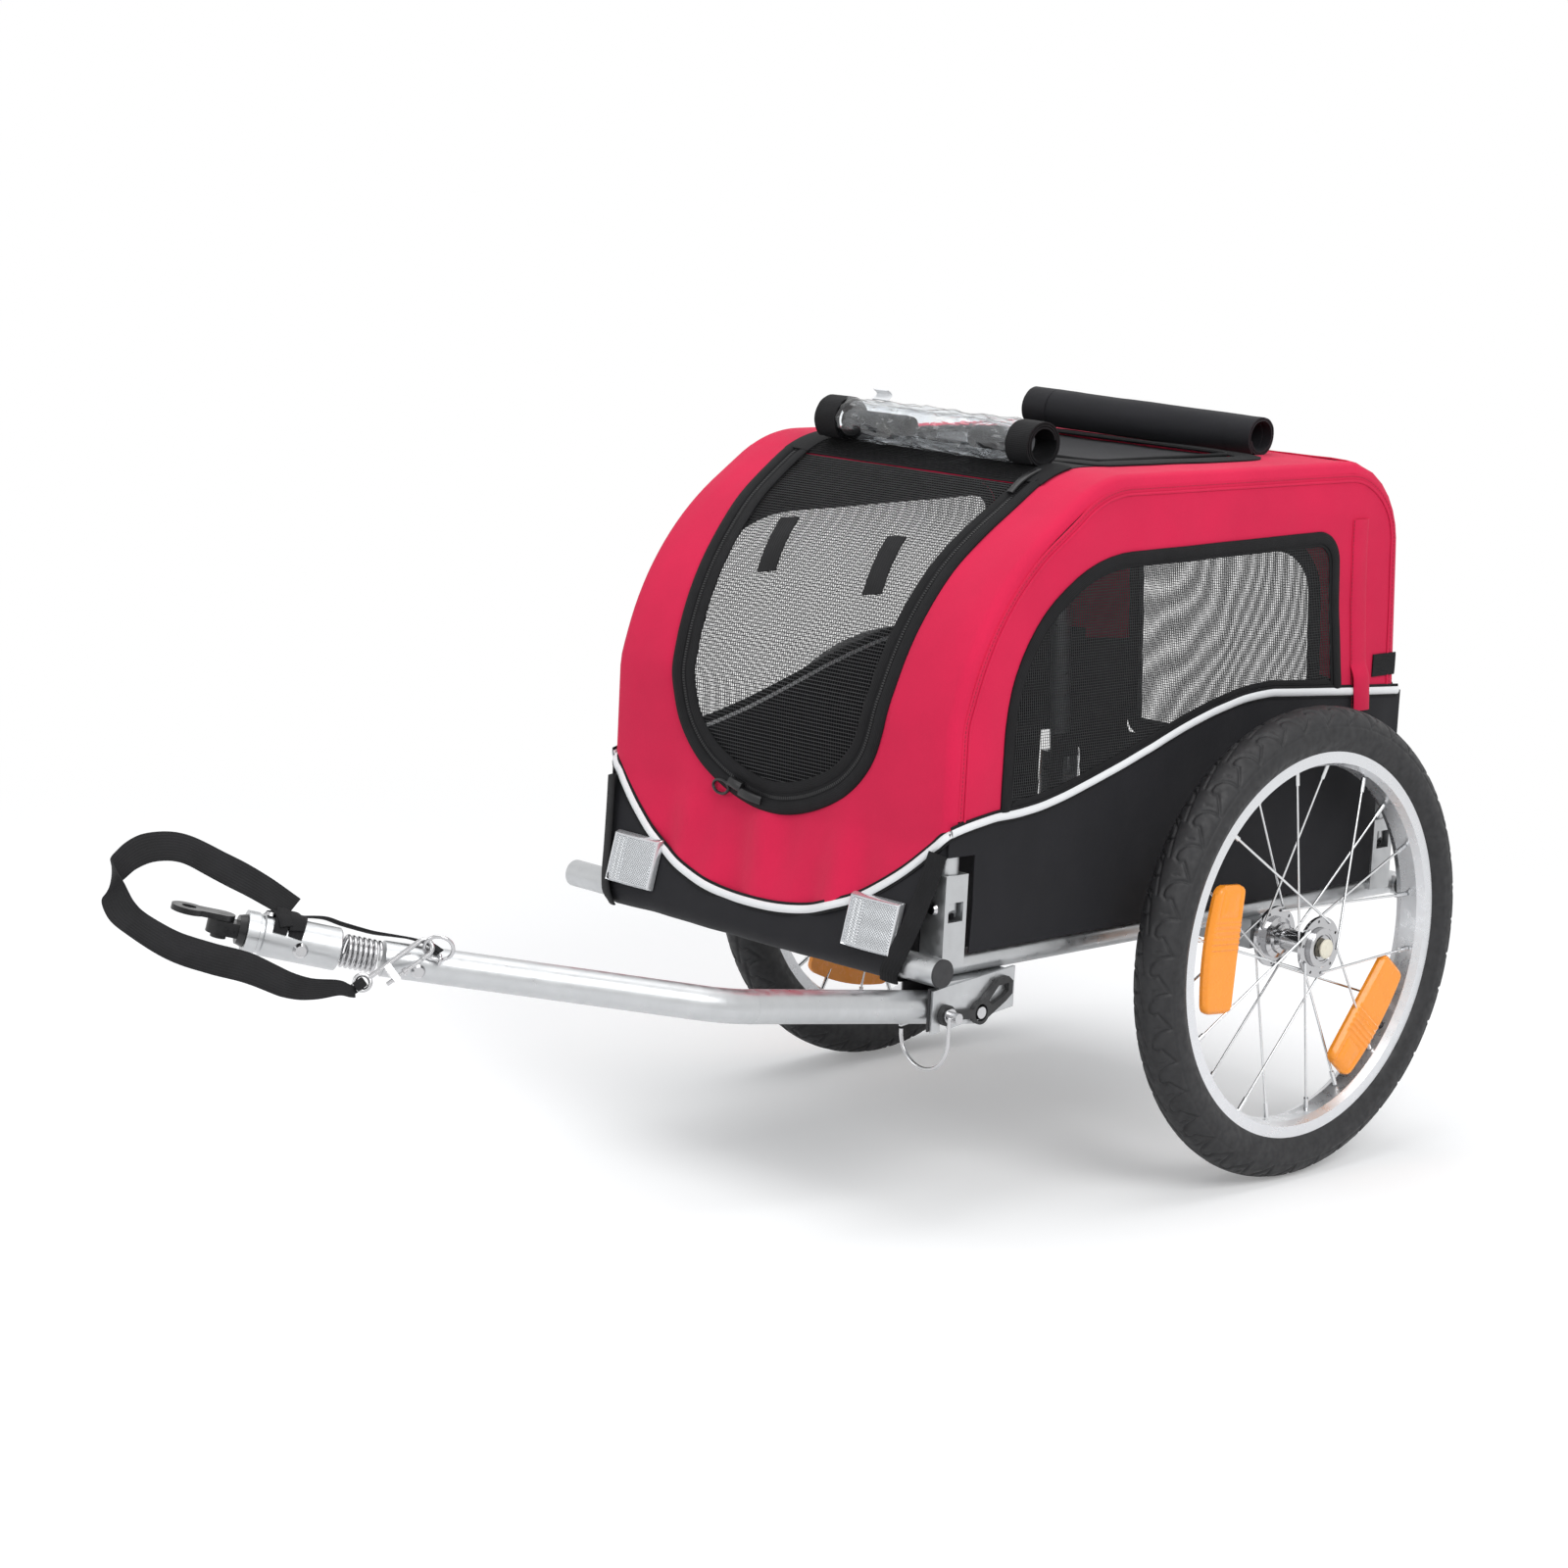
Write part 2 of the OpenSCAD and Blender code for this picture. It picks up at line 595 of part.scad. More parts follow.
module pin_bow() {
    leg = 19;
    span = 24.5;
    color("silver") translate([side_x + bow_x, pin_y, pin_z]) {
        rod_y(bow_y, 6, 1.5);
        translate([0, bow_y, 0]) {
            sphere(1.5);
            translate([0, 0, -leg]) cylinder(h = leg, r = 1.5);
            translate([-span, 0, -leg]) rotate([90, 0, 0]) rotate([0, 0, 180]) rotate_extrude(angle = 180)
                translate([span, 0]) circle(1.5);
            translate([-2 * span, 0, -leg]) cylinder(h = 1.5, r = 1.5);
        }
    }
}
module pin_tether() {
    color("black") difference() {
        along_x(side_x + plate_out + 0.3, side_x + plate_out + 4.3) union() {
            translate([pin_y, pin_z]) circle(8);
            translate([fold_y, fold_z]) circle(9.2);
            polygon([[pin_y, pin_z - 4], [fold_y, fold_z - 4], [fold_y, fold_z + 3], [pin_y, pin_z + 3]]);
            difference() {
                polygon([[fold_y, fold_z - 9], [-310, 181], [-303, 186], [-303, 196], [-308, 200], [-320, 199], [fold_y, fold_z + 9]]);
                polygon([[-326, 180], [-312, 185.5], [-307.5, 189], [-308, 195], [-319, 194], [-329, 184]]);
            }
        }
        translate([side_x, pin_y, pin_z]) rod_x(0, 60, bolt_r + 0.4);
        translate([side_x, fold_y, fold_z]) rod_x(0, 60, 6.7);
    }
}

// Drawbar, its ring and snap hook. Local +Z runs along the bar, +Y up and +X to the left
module facing(p, yaw, pitch) { translate(p) rotate([0, 0, -yaw]) rotate([90 - pitch, 0, 0]) children(); }
module drawbar_tube() {
    back = 14;
    wall = 1.8;
    first = back + bar_bend_at - bend_cut;
    last_run = bar_reach - bend_cut;
    color("silver") difference() {
        translate(fold_at - back * bar_dir_1) rotate([-bar_pitch, 0, 0]) rotate([0, 0, -90]) rotate([bar_roll, 0, 0])
            difference() {
                bent_rod([[first, bar_bend, bend_r], [last_run, 0, 0]], bar_r);
                translate([-1, 0, 0]) bent_rod([[first + 1, bar_bend, bend_r], [last_run - 4, 0, 0]], bar_r - wall);
            }
        translate([side_x, fold_y, fold_z]) rod_x(-40, 40, bolt_r + 0.06);
        translate([side_x, pin_y, pin_z]) rod_x(-40, 40, bolt_r + 0.08);
    }
}
module frame_at(p, z, x) {
    y = cross(z, x);
    multmatrix([[x[0], y[0], z[0], p[0]], [x[1], y[1], z[1], p[1]], [x[2], y[2], z[2], p[2]], [0, 0, 0, 1]])
        children();
}
function unit(v) = v / norm(v);
// The ring hangs in an eye on the bar and leans, so that its wire passes through eye and hook
across = unit([0.7024, 0.7118, 0]);
ring_lean = unit([0.648, -0.6495, -0.3977]);
loop_r = 10;
ring_c = [96.5, -784.4, 262.1];
eye_local = [15.45, 7.9, -36.1];
module drawbar_ring() {
    color("silver") {
        facing(coupler_at, bar_yaw, bar_pitch_2) translate(eye_local) rotate_extrude() translate([3.4, 0]) circle(1.1);
        frame_at(ring_c, ring_lean, across) rotate_extrude() translate([loop_r, 0]) circle(1.3);
        facing(coupler_at, bar_yaw, bar_pitch_2) translate([bar_r + 0.2, -3, -24]) rotate([0, 90, 0])
            cylinder(h = 2.6, r1 = 5, r2 = 3.6);
    }
}
// The hook lies beside the bar: its bend holds the ring and its eye holds the strap
hook_up = unit([0.2543, 0.7991, 0.5448]);
hook_side = unit([0.5352, 0.3529, -0.7674] - ([0.5352, 0.3529, -0.7674] * hook_up) * hook_up);
hook_bend = 5.5;
hook_eye = -49;
module hook_pose() { frame_at(ring_c - loop_r * across, hook_up, hook_side) children(); }
module snap_hook() {
    color("silver") hook_pose() {
        translate([-hook_bend, 0, -44]) cylinder(h = 43.8, r = 1.8);
        rotate([90, 0, 0]) rotate([0, 0, -2.2]) rotate_extrude(angle = 184.4) translate([hook_bend, 0]) circle(1.76);
        translate([hook_bend, 0, -6]) cylinder(h = 5.8, r = 1.8);
        difference() {
            translate([-hook_bend, -2.6, -31]) cube([2 * hook_bend + 2.4, 5.2, 5]);
            translate([hook_bend, 0, -40]) cylinder(h = 40, r = 1.4 + run_fit);
        }
        translate([-hook_bend, 0, hook_eye]) rotate([90, 0, 0]) rotate_extrude() translate([5.5, 0]) circle(1.5);
    }
}
module snap_gate() {
    color("silver") hook_pose() translate([hook_bend, 0, 0]) {
        translate([0, 0, -36]) cylinder(h = 29.6, r = 1.4);
        translate([0, 0, -22]) cylinder(h = 3, r = 2.6);
    }
}

// Coupler: local +Z runs forwards along the coupler
module at_coupler() { facing(coupler_at, coupler_yaw, coupler_pitch) children(); }
spring_r = 10.6;
wire_r = 1.4;
spring_from = 0.3;
spring_to = 31.7;
function spring_point(k, curls_k) =
    let (a = k * 45, rise = (spring_to - spring_from - 4 * wire_r) / curls_k)
    [spring_r * cos(a), spring_r * sin(a), spring_from + 2 * wire_r + k * rise / 8];
spring_rings = spring_curls * 8;
spring_path = concat([spring_point(0, spring_curls) - [0, 0, 2 * wire_r]],
    [for (k = [0:spring_rings]) spring_point(k, spring_curls)],
    [spring_point(spring_rings, spring_curls) + [0, 0, 2 * wire_r]]);
// Rings of a swept outline: sides points round each path point, beside the direction of travel
function travel(path, i) = i == 0 ? [0, 0, 1] : i == len(path) - 1 ? [0, 0, 1] :
    unit(path[i + 1] - path[i - 1]);
function wire_ring(path, i, r) =
    let (t = travel(path, i), out = unit([path[i][0], path[i][1], 0]), w = unit(cross(t, out)), o = cross(w, t))
    [for (s = [0:5]) path[i] + r * (cos(s * 60) * o + sin(s * 60) * w)];
function tube_faces(rings, sides) = concat(
    [for (i = [1:sides - 2]) [0, i, i + 1]],
    [for (i = [1:sides - 2]) [(rings - 1) * sides, (rings - 1) * sides + i + 1, (rings - 1) * sides + i]],
    [for (r = [0:rings - 2], s = [0:sides - 1], half = [0, 1])
        let (a = r * sides + s, b = r * sides + (s + 1) % sides)
        half == 0 ? [a, a + sides, b] : [b, a + sides, b + sides]]);
module hitch_spring() {
    points = [for (i = [0:len(spring_path) - 1]) each wire_ring(spring_path, i, wire_r)];
    color("silver") at_coupler() polyhedron(points, tube_faces(len(spring_path), 6));
}
spring_gap = (spring_to - spring_from - 4 * wire_r) / spring_curls - 2 * wire_r;
echo(spring_least_gap = spring_gap);

module coupler_sleeve() {
    color("silver") at_coupler() rotate_extrude() polygon([
        [0, 32], [14.2, 32], [15, 32.8], [15, 86], [13.6, 87], [13.6, 89.5], [14.6, 90], [14.6, 98],
        [9, 98], [9, 60], [0, 60]]);
}
module coupler_screws() {
    color("silver") at_coupler() {
        translate([15.1, -3, 60]) rotate([0, 90, 0]) cylinder(h = 2.8, r1 = 5.4, r2 = 3.8);
        translate([3, 15.1, 84]) rotate([-90, 0, 0]) cylinder(h = 2.2, r1 = 4.2, r2 = 3);
    }
}
pivot_z = 115;
module hitch_stud() {
    color("black") at_coupler() difference() {
        union() {
            translate([0, 0, 60.5]) cylinder(h = 42.8, r = 9 - run_fit);
            translate([0, 0, 98.4]) cylinder(h = 5, r1 = 11.5, r2 = 10);
            translate([-8.9, -5, 102]) cube([17.8, 10, pivot_z - 102]);
            intersection() {
                translate([-8.9, -5, pivot_z - 5]) cube([17.8, 10, 20]);
                translate([0, 20, pivot_z]) rotate([90, 0, 0]) cylinder(h = 40, r = 9.5);
            }
        }
        translate([0, 20, pivot_z]) rotate([90, 0, 0]) cylinder(h = 40, r = 3 + run_fit);
    }
}
axle_hole_z = 139;
axle_hole_r = 5.1;
module hitch_plate() {
    color("black") at_coupler() difference() {
        union() {
            translate([0, 9.3, 0]) rotate([90, 0, 0]) linear_extrude(4) {
                translate([0, pivot_z]) circle(8.5);
                translate([0, axle_hole_z]) circle(12);
                translate([-8.5, pivot_z]) square([17, axle_hole_z - pivot_z]);
            }
            translate([0, 6, pivot_z]) rotate([90, 0, 0]) cylinder(h = 14, r = 3);
            translate([0, -5.4, pivot_z]) rotate([90, 0, 0]) cylinder(h = 2.6, r = 5.5);
        }
        translate([0, 20, axle_hole_z]) rotate([90, 0, 0]) cylinder(h = 40, r = axle_hole_r);
    }
}

// Safety strap: one webbing band from the sleeve, round a loop ahead of the hitch, to the hook.
// Each row is a point of its route and the band's width there.
strap_t = 1.6;
strap_route = [
    [24.5, -865.5, 288.2, 18], [12, -872, 293, 25], [-2, -884, 306, 25], [-12, -900, 316, 25],
    [-18, -922, 322, 25], [-20, -946, 323, 25], [-14, -970, 321, 24], [-2, -988, 317, 22],
    [12, -996, 310, 20], [24, -994, 301, 21], [34, -984, 291, 24], [43, -966, 281, 25],
    [51, -944, 272, 25], [60, -918, 262, 25], [66, -892, 252, 24], [70, -868, 243, 18],
    [72, -852, 238, 12], [71.8, -840.5, 234.8, 8]];
strap_side = unit([0.55, -0.5, -0.66]);
function strap_point(i) = [strap_route[i][0], strap_route[i][1], strap_route[i][2]];
strap_points = [for (i = [0:len(strap_route) - 1]) strap_point(i)];
function strap_ring(i) =
    let (n = len(strap_points), t = unit(strap_points[min(n - 1, i + 1)] - strap_points[max(0, i - 1)]),
         up = unit(cross(t, strap_side)), w = cross(up, t), b = strap_route[i][3] / 2)
    [for (c = [[1, 1], [-1, 1], [-1, -1], [1, -1]]) strap_points[i] + c[0] * b * w + c[1] * strap_t / 2 * up];
module safety_strap() {
    points = [for (i = [0:len(strap_points) - 1]) each strap_ring(i)];
    color("black") polyhedron(points, tube_faces(len(strap_points), 4));
}

at_axle() front_cross_tube();
at_axle() rear_cross_tube();
at_axle() left_side_tube();
at_axle() right_side_tube();
at_axle() axle_beam();
at_axle() tube_end_caps();
at_axle() left_hinge_posts();
at_axle() right_hinge_posts();
at_axle() hinge_screws();
at_axle() left_hoop();
at_axle() right_hoop();
at_axle() axles();
at_axle() hub_bearings();
at_axle() left_axle_button();
at_axle() right_axle_button();
at_axle() left_hub();
at_axle() left_spokes();
at_axle() left_rim();
at_axle() left_tyre();
at_axle() left_inner_tube();
at_axle() left_reflectors();
at_axle() right_hub();
at_axle() right_spokes();
at_axle() right_rim();
at_axle() right_tyre();
at_axle() right_inner_tube();
at_axle() right_reflectors();
at_axle() floor_board();
at_axle() front_skirt();
at_axle() front_panel();
at_axle() roof_panel();
at_axle() rear_panel();
at_axle() left_side_panel();
at_axle() right_side_panel();
at_axle() window_meshes();
at_axle() front_door();
at_axle() clear_cover_roll();
at_axle() black_cover_roll();
at_axle() flag_sleeve();
at_axle() front_reflectors();
at_axle() rear_reflectors();
at_axle() drawbar_bracket();
at_axle() bracket_liner();
at_axle() fold_bolt();
at_axle() lock_pin();
at_axle() pin_bow();
at_axle() pin_tether();
at_axle() drawbar_tube();
at_axle() drawbar_ring();
at_axle() snap_hook();
at_axle() snap_gate();
at_axle() hitch_spring();
at_axle() coupler_sleeve();
at_axle() coupler_screws();
at_axle() hitch_stud();
at_axle() hitch_plate();
at_axle() safety_strap();
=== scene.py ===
"""Visual model of the dog bike trailer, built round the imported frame.

Lengths are millimetres measured from the point on the ground under the axle, with the drawbar
towards -Y and the left side at +X, until add_mesh() turns them into metres in the row frame.
"""

import json
import math

import bpy
import numpy as np
from mathutils import Matrix, Vector


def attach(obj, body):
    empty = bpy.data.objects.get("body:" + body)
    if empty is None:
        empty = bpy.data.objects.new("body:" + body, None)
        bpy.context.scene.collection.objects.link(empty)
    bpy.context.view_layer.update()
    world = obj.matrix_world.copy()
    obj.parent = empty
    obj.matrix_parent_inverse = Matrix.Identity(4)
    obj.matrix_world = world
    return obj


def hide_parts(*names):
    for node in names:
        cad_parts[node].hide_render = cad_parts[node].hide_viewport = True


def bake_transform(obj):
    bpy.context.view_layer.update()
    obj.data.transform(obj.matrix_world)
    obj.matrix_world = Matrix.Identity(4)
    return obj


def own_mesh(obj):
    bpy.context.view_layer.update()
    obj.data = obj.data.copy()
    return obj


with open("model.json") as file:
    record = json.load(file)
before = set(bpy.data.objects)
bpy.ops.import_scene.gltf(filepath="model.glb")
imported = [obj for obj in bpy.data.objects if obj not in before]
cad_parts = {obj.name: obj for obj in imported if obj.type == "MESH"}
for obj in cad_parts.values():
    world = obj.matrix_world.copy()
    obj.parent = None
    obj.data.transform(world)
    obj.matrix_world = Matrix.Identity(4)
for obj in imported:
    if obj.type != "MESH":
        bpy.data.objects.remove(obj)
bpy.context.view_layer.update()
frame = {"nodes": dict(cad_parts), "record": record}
AXLE_Y = 398.3
NODES = frame["nodes"]


# Helpers
def to_row(p):
    out = np.array(p, float) * 0.001
    out[..., 1] += AXLE_Y * 0.001
    return out


def unit(v):
    v = np.asarray(v, float)
    return v / np.maximum(np.linalg.norm(v, axis=-1, keepdims=True), 1e-12)


def add_mesh(name, verts, faces, mat, body, cloth=None, smooth=True, sharp=40, mats=None, index=None):
    me = bpy.data.meshes.new(name)
    me.from_pydata(to_row(verts).tolist(), [], [list(map(int, f)) for f in faces])
    me.validate()
    me.polygons.foreach_set("use_smooth", [smooth] * len(me.polygons))
    if cloth is not None:
        c = np.zeros((len(verts), 3))
        c[:, : np.shape(cloth)[1]] = np.asarray(cloth) * 0.001
        me.attributes.new("cloth", "FLOAT_VECTOR", "POINT").data.foreach_set("vector", c.ravel())
    for m in mats or [mat]:
        me.materials.append(m)
    if index is not None:
        me.polygons.foreach_set("material_index", list(map(int, index)))
    if smooth:
        me.set_sharp_from_angle(angle=math.radians(sharp))
    me.update()
    ob = bpy.data.objects.new(name, me)
    bpy.context.scene.collection.objects.link(ob)
    if body is not None:
        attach(ob, body)
    return ob


def grid_faces(nu, nv, close=False):
    i = np.arange(nu if close else nu - 1)[:, None]
    j = np.arange(nv - 1)[None, :]
    a, b = i * nv + j, ((i + 1) % nu) * nv + j
    return np.stack([a, b, b + 1, a + 1], -1).reshape(-1, 4)


def turned_out(verts, faces, centre):
    """Faces turned so that they look away from centre."""
    v = np.asarray(verts)
    f = np.asarray(faces)
    n = np.cross(v[f[:, 2]] - v[f[:, 0]], v[f[:, 3]] - v[f[:, 1]])
    mid = v[f].mean(1)
    return f[:, ::-1] if (n * (mid - np.asarray(centre))).sum() < 0 else f


def thicken(verts, faces, thick):
    """A closed skin: the given faces, a copy inside them, and the rim between."""
    v, f = np.asarray(verts, float), np.asarray(faces)
    n = np.cross(v[f[:, 2]] - v[f[:, 0]], v[f[:, 3]] - v[f[:, 1]])
    vn = np.zeros_like(v)
    for k in range(4):
        np.add.at(vn, f[:, k], n)
    back = v - unit(vn) * thick
    edges = np.vstack([f[:, [0, 1]], f[:, [1, 2]], f[:, [2, 3]], f[:, [3, 0]]])
    edges = edges[edges[:, 0] != edges[:, 1]]
    _, inverse, count = np.unique(np.sort(edges, 1), axis=0, return_inverse=True, return_counts=True)
    rim = edges[count[inverse.ravel()] == 1]
    m = len(v)
    sides = np.stack([rim[:, 1], rim[:, 0], rim[:, 0] + m, rim[:, 1] + m], 1)
    return np.vstack([v, back]), np.vstack([f, f[:, ::-1] + m, sides])


def cleaned(faces):
    """Quads whose corners fall together become triangles."""
    out = []
    for f in faces:
        g = [f[k] for k in range(len(f)) if f[k] != f[k - 1]]
        if len(g) > 2:
            out.append(g)
    return out


def weld(verts, faces, tol=0.01):
    v = np.asarray(verts)
    key = np.round(v / tol).astype(np.int64)
    _, first, inverse = np.unique(key, axis=0, return_index=True, return_inverse=True)
    return v[first], inverse.ravel()[np.asarray(faces)], first


_rng = np.random.RandomState(11)
_perm = _rng.permutation(256)
_grad = unit(_rng.normal(size=(256, 3)))


def noise3(p):
    """Smooth gradient noise, about -0.6 to 0.6."""
    p = np.asarray(p, float)
    i = np.floor(p).astype(int)
    f = p - i
    w = f * f * f * (f * (f * 6 - 15) + 10)
    total = np.zeros(p.shape[:-1])
    for dx in (0, 1):
        for dy in (0, 1):
            for dz in (0, 1):
                h = _perm[(_perm[(_perm[(i[..., 0] + dx) & 255] + i[..., 1] + dy) & 255] + i[..., 2] + dz) & 255]
                d = (_grad[h] * (f - np.array([dx, dy, dz]))).sum(-1)
                wt = (
                    (w[..., 0] if dx else 1 - w[..., 0])
                    * (w[..., 1] if dy else 1 - w[..., 1])
                    * (w[..., 2] if dz else 1 - w[..., 2])
                )
                total = total + d * wt
    return total


def noise2(a, b, seed=0.0):
    return noise3(np.stack(np.broadcast_arrays(a, b, float(seed)), -1))


def smooth01(t):
    t = np.clip(t, 0, 1)
    return t * t * (3 - 2 * t)


def resample(line, count, closed=False):
    line = np.asarray(line, float)
    if closed:
        line = np.vstack([line, line[:1]])
    s = np.r_[0, np.cumsum(np.linalg.norm(np.diff(line, axis=0), axis=1))]
    t = np.linspace(0, s[-1], count + 1)[:-1] if closed else np.linspace(0, s[-1], count)
    return np.stack([np.interp(t, s, line[:, k]) for k in range(line.shape[1])], 1)


def length_of(line):
    return float(np.linalg.norm(np.diff(np.asarray(line, float), axis=0), axis=1).sum())


def spline(points, count):
    """A Catmull-Rom curve through the points, evenly spaced."""
    p = np.asarray(points, float)
    p = np.vstack([2 * p[0] - p[1], p, 2 * p[-1] - p[-2]])
    out = []
    for i in range(1, len(p) - 2):
        for t in np.linspace(0, 1, 24, endpoint=False):
            a, b, c, d = p[i - 1], p[i], p[i + 1], p[i + 2]
            out.append(
                0.5 * (2 * b + (c - a) * t + (2 * a - 5 * b + 4 * c - d) * t * t + (3 * b - a - 3 * c + d) * t**3)
            )
    out.append(p[-2])
    return resample(out, count)


def frames_along(path, up):
    """Tangent, side and up of each point of a path; up is a hint for each."""
    path = np.asarray(path, float)
    t = unit(np.gradient(path, axis=0))
    up = np.broadcast_to(np.asarray(up, float), path.shape)
    side = unit(np.cross(t, up))
    return t, side, unit(np.cross(side, t))


def sweep(path, up, section, closed=False, scale=None):
    """An outline (side, up) carried along a path. Returns vertices, faces and cloth coordinates."""
    path, section = np.asarray(path, float), np.asarray(section, float)
    if closed:
        ext = np.vstack([path[-2:], path, path[:2]])
        hint = np.asarray(up, float)
        if hint.ndim == 2:
            hint = np.vstack([hint[-2:], hint, hint[:2]])
        _, side, upv = frames_along(ext, hint)
        side, upv = side[2:-2], upv[2:-2]
    else:
        _, side, upv = frames_along(path, up)
    n, m = len(path), len(section)
    sc = np.ones(n) if scale is None else np.asarray(scale, float)
    v = (
        path[:, None, :]
        + side[:, None, :] * (section[None, :, 0:1] * sc[:, None, None])
        + upv[:, None, :] * (section[None, :, 1:2] * sc[:, None, None])
    )
    i = np.arange(n if closed else n - 1)[:, None]
    j = np.arange(m)[None, :]
    a, b = i * m + j, ((i + 1) % n) * m + j
    a2, b2 = i * m + (j + 1) % m, ((i + 1) % n) * m + (j + 1) % m
    f = [list(q) for q in np.stack([a, b, b2, a2], -1).reshape(-1, 4)]
    if not closed:
        f += [list(range(m)), [(n - 1) * m + k for k in range(m)][::-1]]
    s = np.r_[0, np.cumsum(np.linalg.norm(np.diff(path, axis=0), axis=1))]
    around = np.r_[0, np.cumsum(np.linalg.norm(np.diff(section, axis=0), axis=1))]
    cloth = np.stack([np.broadcast_to(s[:, None], (n, m)), np.broadcast_to(around[None], (n, m))], -1)
    return v.reshape(-1, 3), f, cloth.reshape(-1, 2)


def ring_section(r, sides=12, squash=1.0):
    a = np.linspace(0, 2 * np.pi, sides, endpoint=False)
    return np.stack([r * np.cos(a), r * squash * np.sin(a)], 1)


def tape_section(half, thick, crown=0.0, steps=8):
    """A flat band's outline with rounded edges: its underside at 0."""
    x = np.linspace(-half, half, steps + 1)
    top = thick + crown * (1 - (x / half) ** 2)
    pts = [(-half - 0.0, thick * 0.15)] + [(-half + 0.12 * thick, thick * 0.8)]
    pts += [(float(a), float(b)) for a, b in zip(x[1:-1], top[1:-1], strict=True)]
    pts += [(half - 0.12 * thick, thick * 0.8), (half, thick * 0.15), (half - 0.3, 0.0), (-half + 0.3, 0.0)]
    return np.array(pts)


class Parts:
    """Gathers several meshes into one object."""

    def __init__(self):
        self.v, self.f, self.c, self.m, self.count = [], [], [], [], 0

    def add(self, v, f, cloth=None, index=0):
        v = np.asarray(v, float)
        self.f += [[int(k) + self.count for k in q] for q in f]
        self.v.append(v)
        self.c.append(np.zeros((len(v), 2)) if cloth is None else np.asarray(cloth)[:, :2])
        self.m += [index] * len(f)
        self.count += len(v)
        return self

    def make(self, name, mats, body, slot, smooth=True, sharp=40):
        return add_mesh(
            name,
            np.vstack(self.v),
            self.f,
            None,
            body,
            cloth=np.vstack(self.c),
            smooth=smooth,
            sharp=sharp,
            mats=mats,
            index=self.m,
        )


# Materials
def new_material(name):
    mat = bpy.data.materials.new(name)
    mat.use_nodes = True
    nt = mat.node_tree
    nt.nodes.clear()
    out = nt.nodes.new("ShaderNodeOutputMaterial")
    bsdf = nt.nodes.new("ShaderNodeBsdfPrincipled")
    nt.links.new(bsdf.outputs[0], out.inputs[0])
    return mat, nt, bsdf


def node(nt, kind, **values):
    n = nt.nodes.new(kind)
    for key, value in values.items():
        if hasattr(n, key):
            setattr(n, key, value)
        else:
            n.inputs[key].default_value = value
    return n


def cloth_coords(nt):
    return node(nt, "ShaderNodeAttribute", attribute_name="cloth").outputs["Vector"]


def object_coords(nt):
    return nt.nodes.new("ShaderNodeTexCoord").outputs["Object"]


def noise_node(nt, coords, scale, detail=2.0, rough=0.5):
    n = node(nt, "ShaderNodeTexNoise", Scale=scale, Detail=detail, Roughness=rough)
    nt.links.new(coords, n.inputs["Vector"])
    return n.outputs["Fac"]


def ramp(nt, fac, stops):
    n = nt.nodes.new("ShaderNodeValToRGB")
    n.color_ramp.elements[0].position, n.color_ramp.elements[0].color = stops[0][0], (*stops[0][1], 1)
    n.color_ramp.elements[1].position, n.color_ramp.elements[1].color = stops[-1][0], (*stops[-1][1], 1)
    for pos, col in stops[1:-1]:
        n.color_ramp.elements.new(pos).color = (*col, 1)
    nt.links.new(fac, n.inputs["Fac"])
    return n.outputs["Color"]


def math_node(nt, op, a, b=None):
    n = node(nt, "ShaderNodeMath", operation=op)
    for k, x in enumerate((a, b)):
        if x is None:
            continue
        if isinstance(x, (int, float)):
            n.inputs[k].default_value = x
        else:
            nt.links.new(x, n.inputs[k])
    return n.outputs[0]


def bump(nt, bsdf, height, strength, distance, before=None):
    n = node(nt, "ShaderNodeBump", Strength=strength, Distance=distance)
    nt.links.new(height, n.inputs["Height"])
    if before is not None:
        nt.links.new(before, n.inputs["Normal"])
    nt.links.new(n.outputs[0], bsdf.inputs["Normal"])
    return n.outputs[0]


def shades(colour, spread):
    return [tuple(c * k for c in colour) for k in (1 - spread, 1, 1 + spread)]


def woven(name, colour, pitch=0.0007, rough=0.8, sheen=0.25, spread=0.1, weave=0.25, coat=0.0):
    """Plain-woven cloth: crossing threads, uneven dye, soft creases."""
    mat, nt, b = new_material(name)
    c = cloth_coords(nt)
    split = nt.nodes.new("ShaderNodeSeparateXYZ")
    nt.links.new(c, split.inputs[0])
    threads = []
    for k in (0, 1):
        a = math_node(nt, "MULTIPLY", split.outputs[k], 2 * math.pi / pitch)
        threads.append(math_node(nt, "SINE", a))
    grain = math_node(nt, "MULTIPLY", threads[0], threads[1])
    obj = object_coords(nt)
    fine = noise_node(nt, obj, 900, 2)
    broad = noise_node(nt, obj, 14, 3)
    low, mid, high = shades(colour, spread)
    mix = math_node(nt, "ADD", math_node(nt, "MULTIPLY", broad, 0.7), math_node(nt, "MULTIPLY", fine, 0.3))
    nt.links.new(ramp(nt, mix, [(0.32, low), (0.5, mid), (0.68, high)]), b.inputs["Base Color"])
    b.inputs["Roughness"].default_value = rough
    b.inputs["Sheen Weight"].default_value = sheen
    b.inputs["Sheen Roughness"].default_value = 0.5
    b.inputs["Specular IOR Level"].default_value = 0.25
    crease = noise_node(nt, obj, 38, 4, 0.6)
    first = bump(nt, b, crease, 0.35, 0.0012)
    bump(nt, b, grain, weave, 0.00012, first)
    return mat


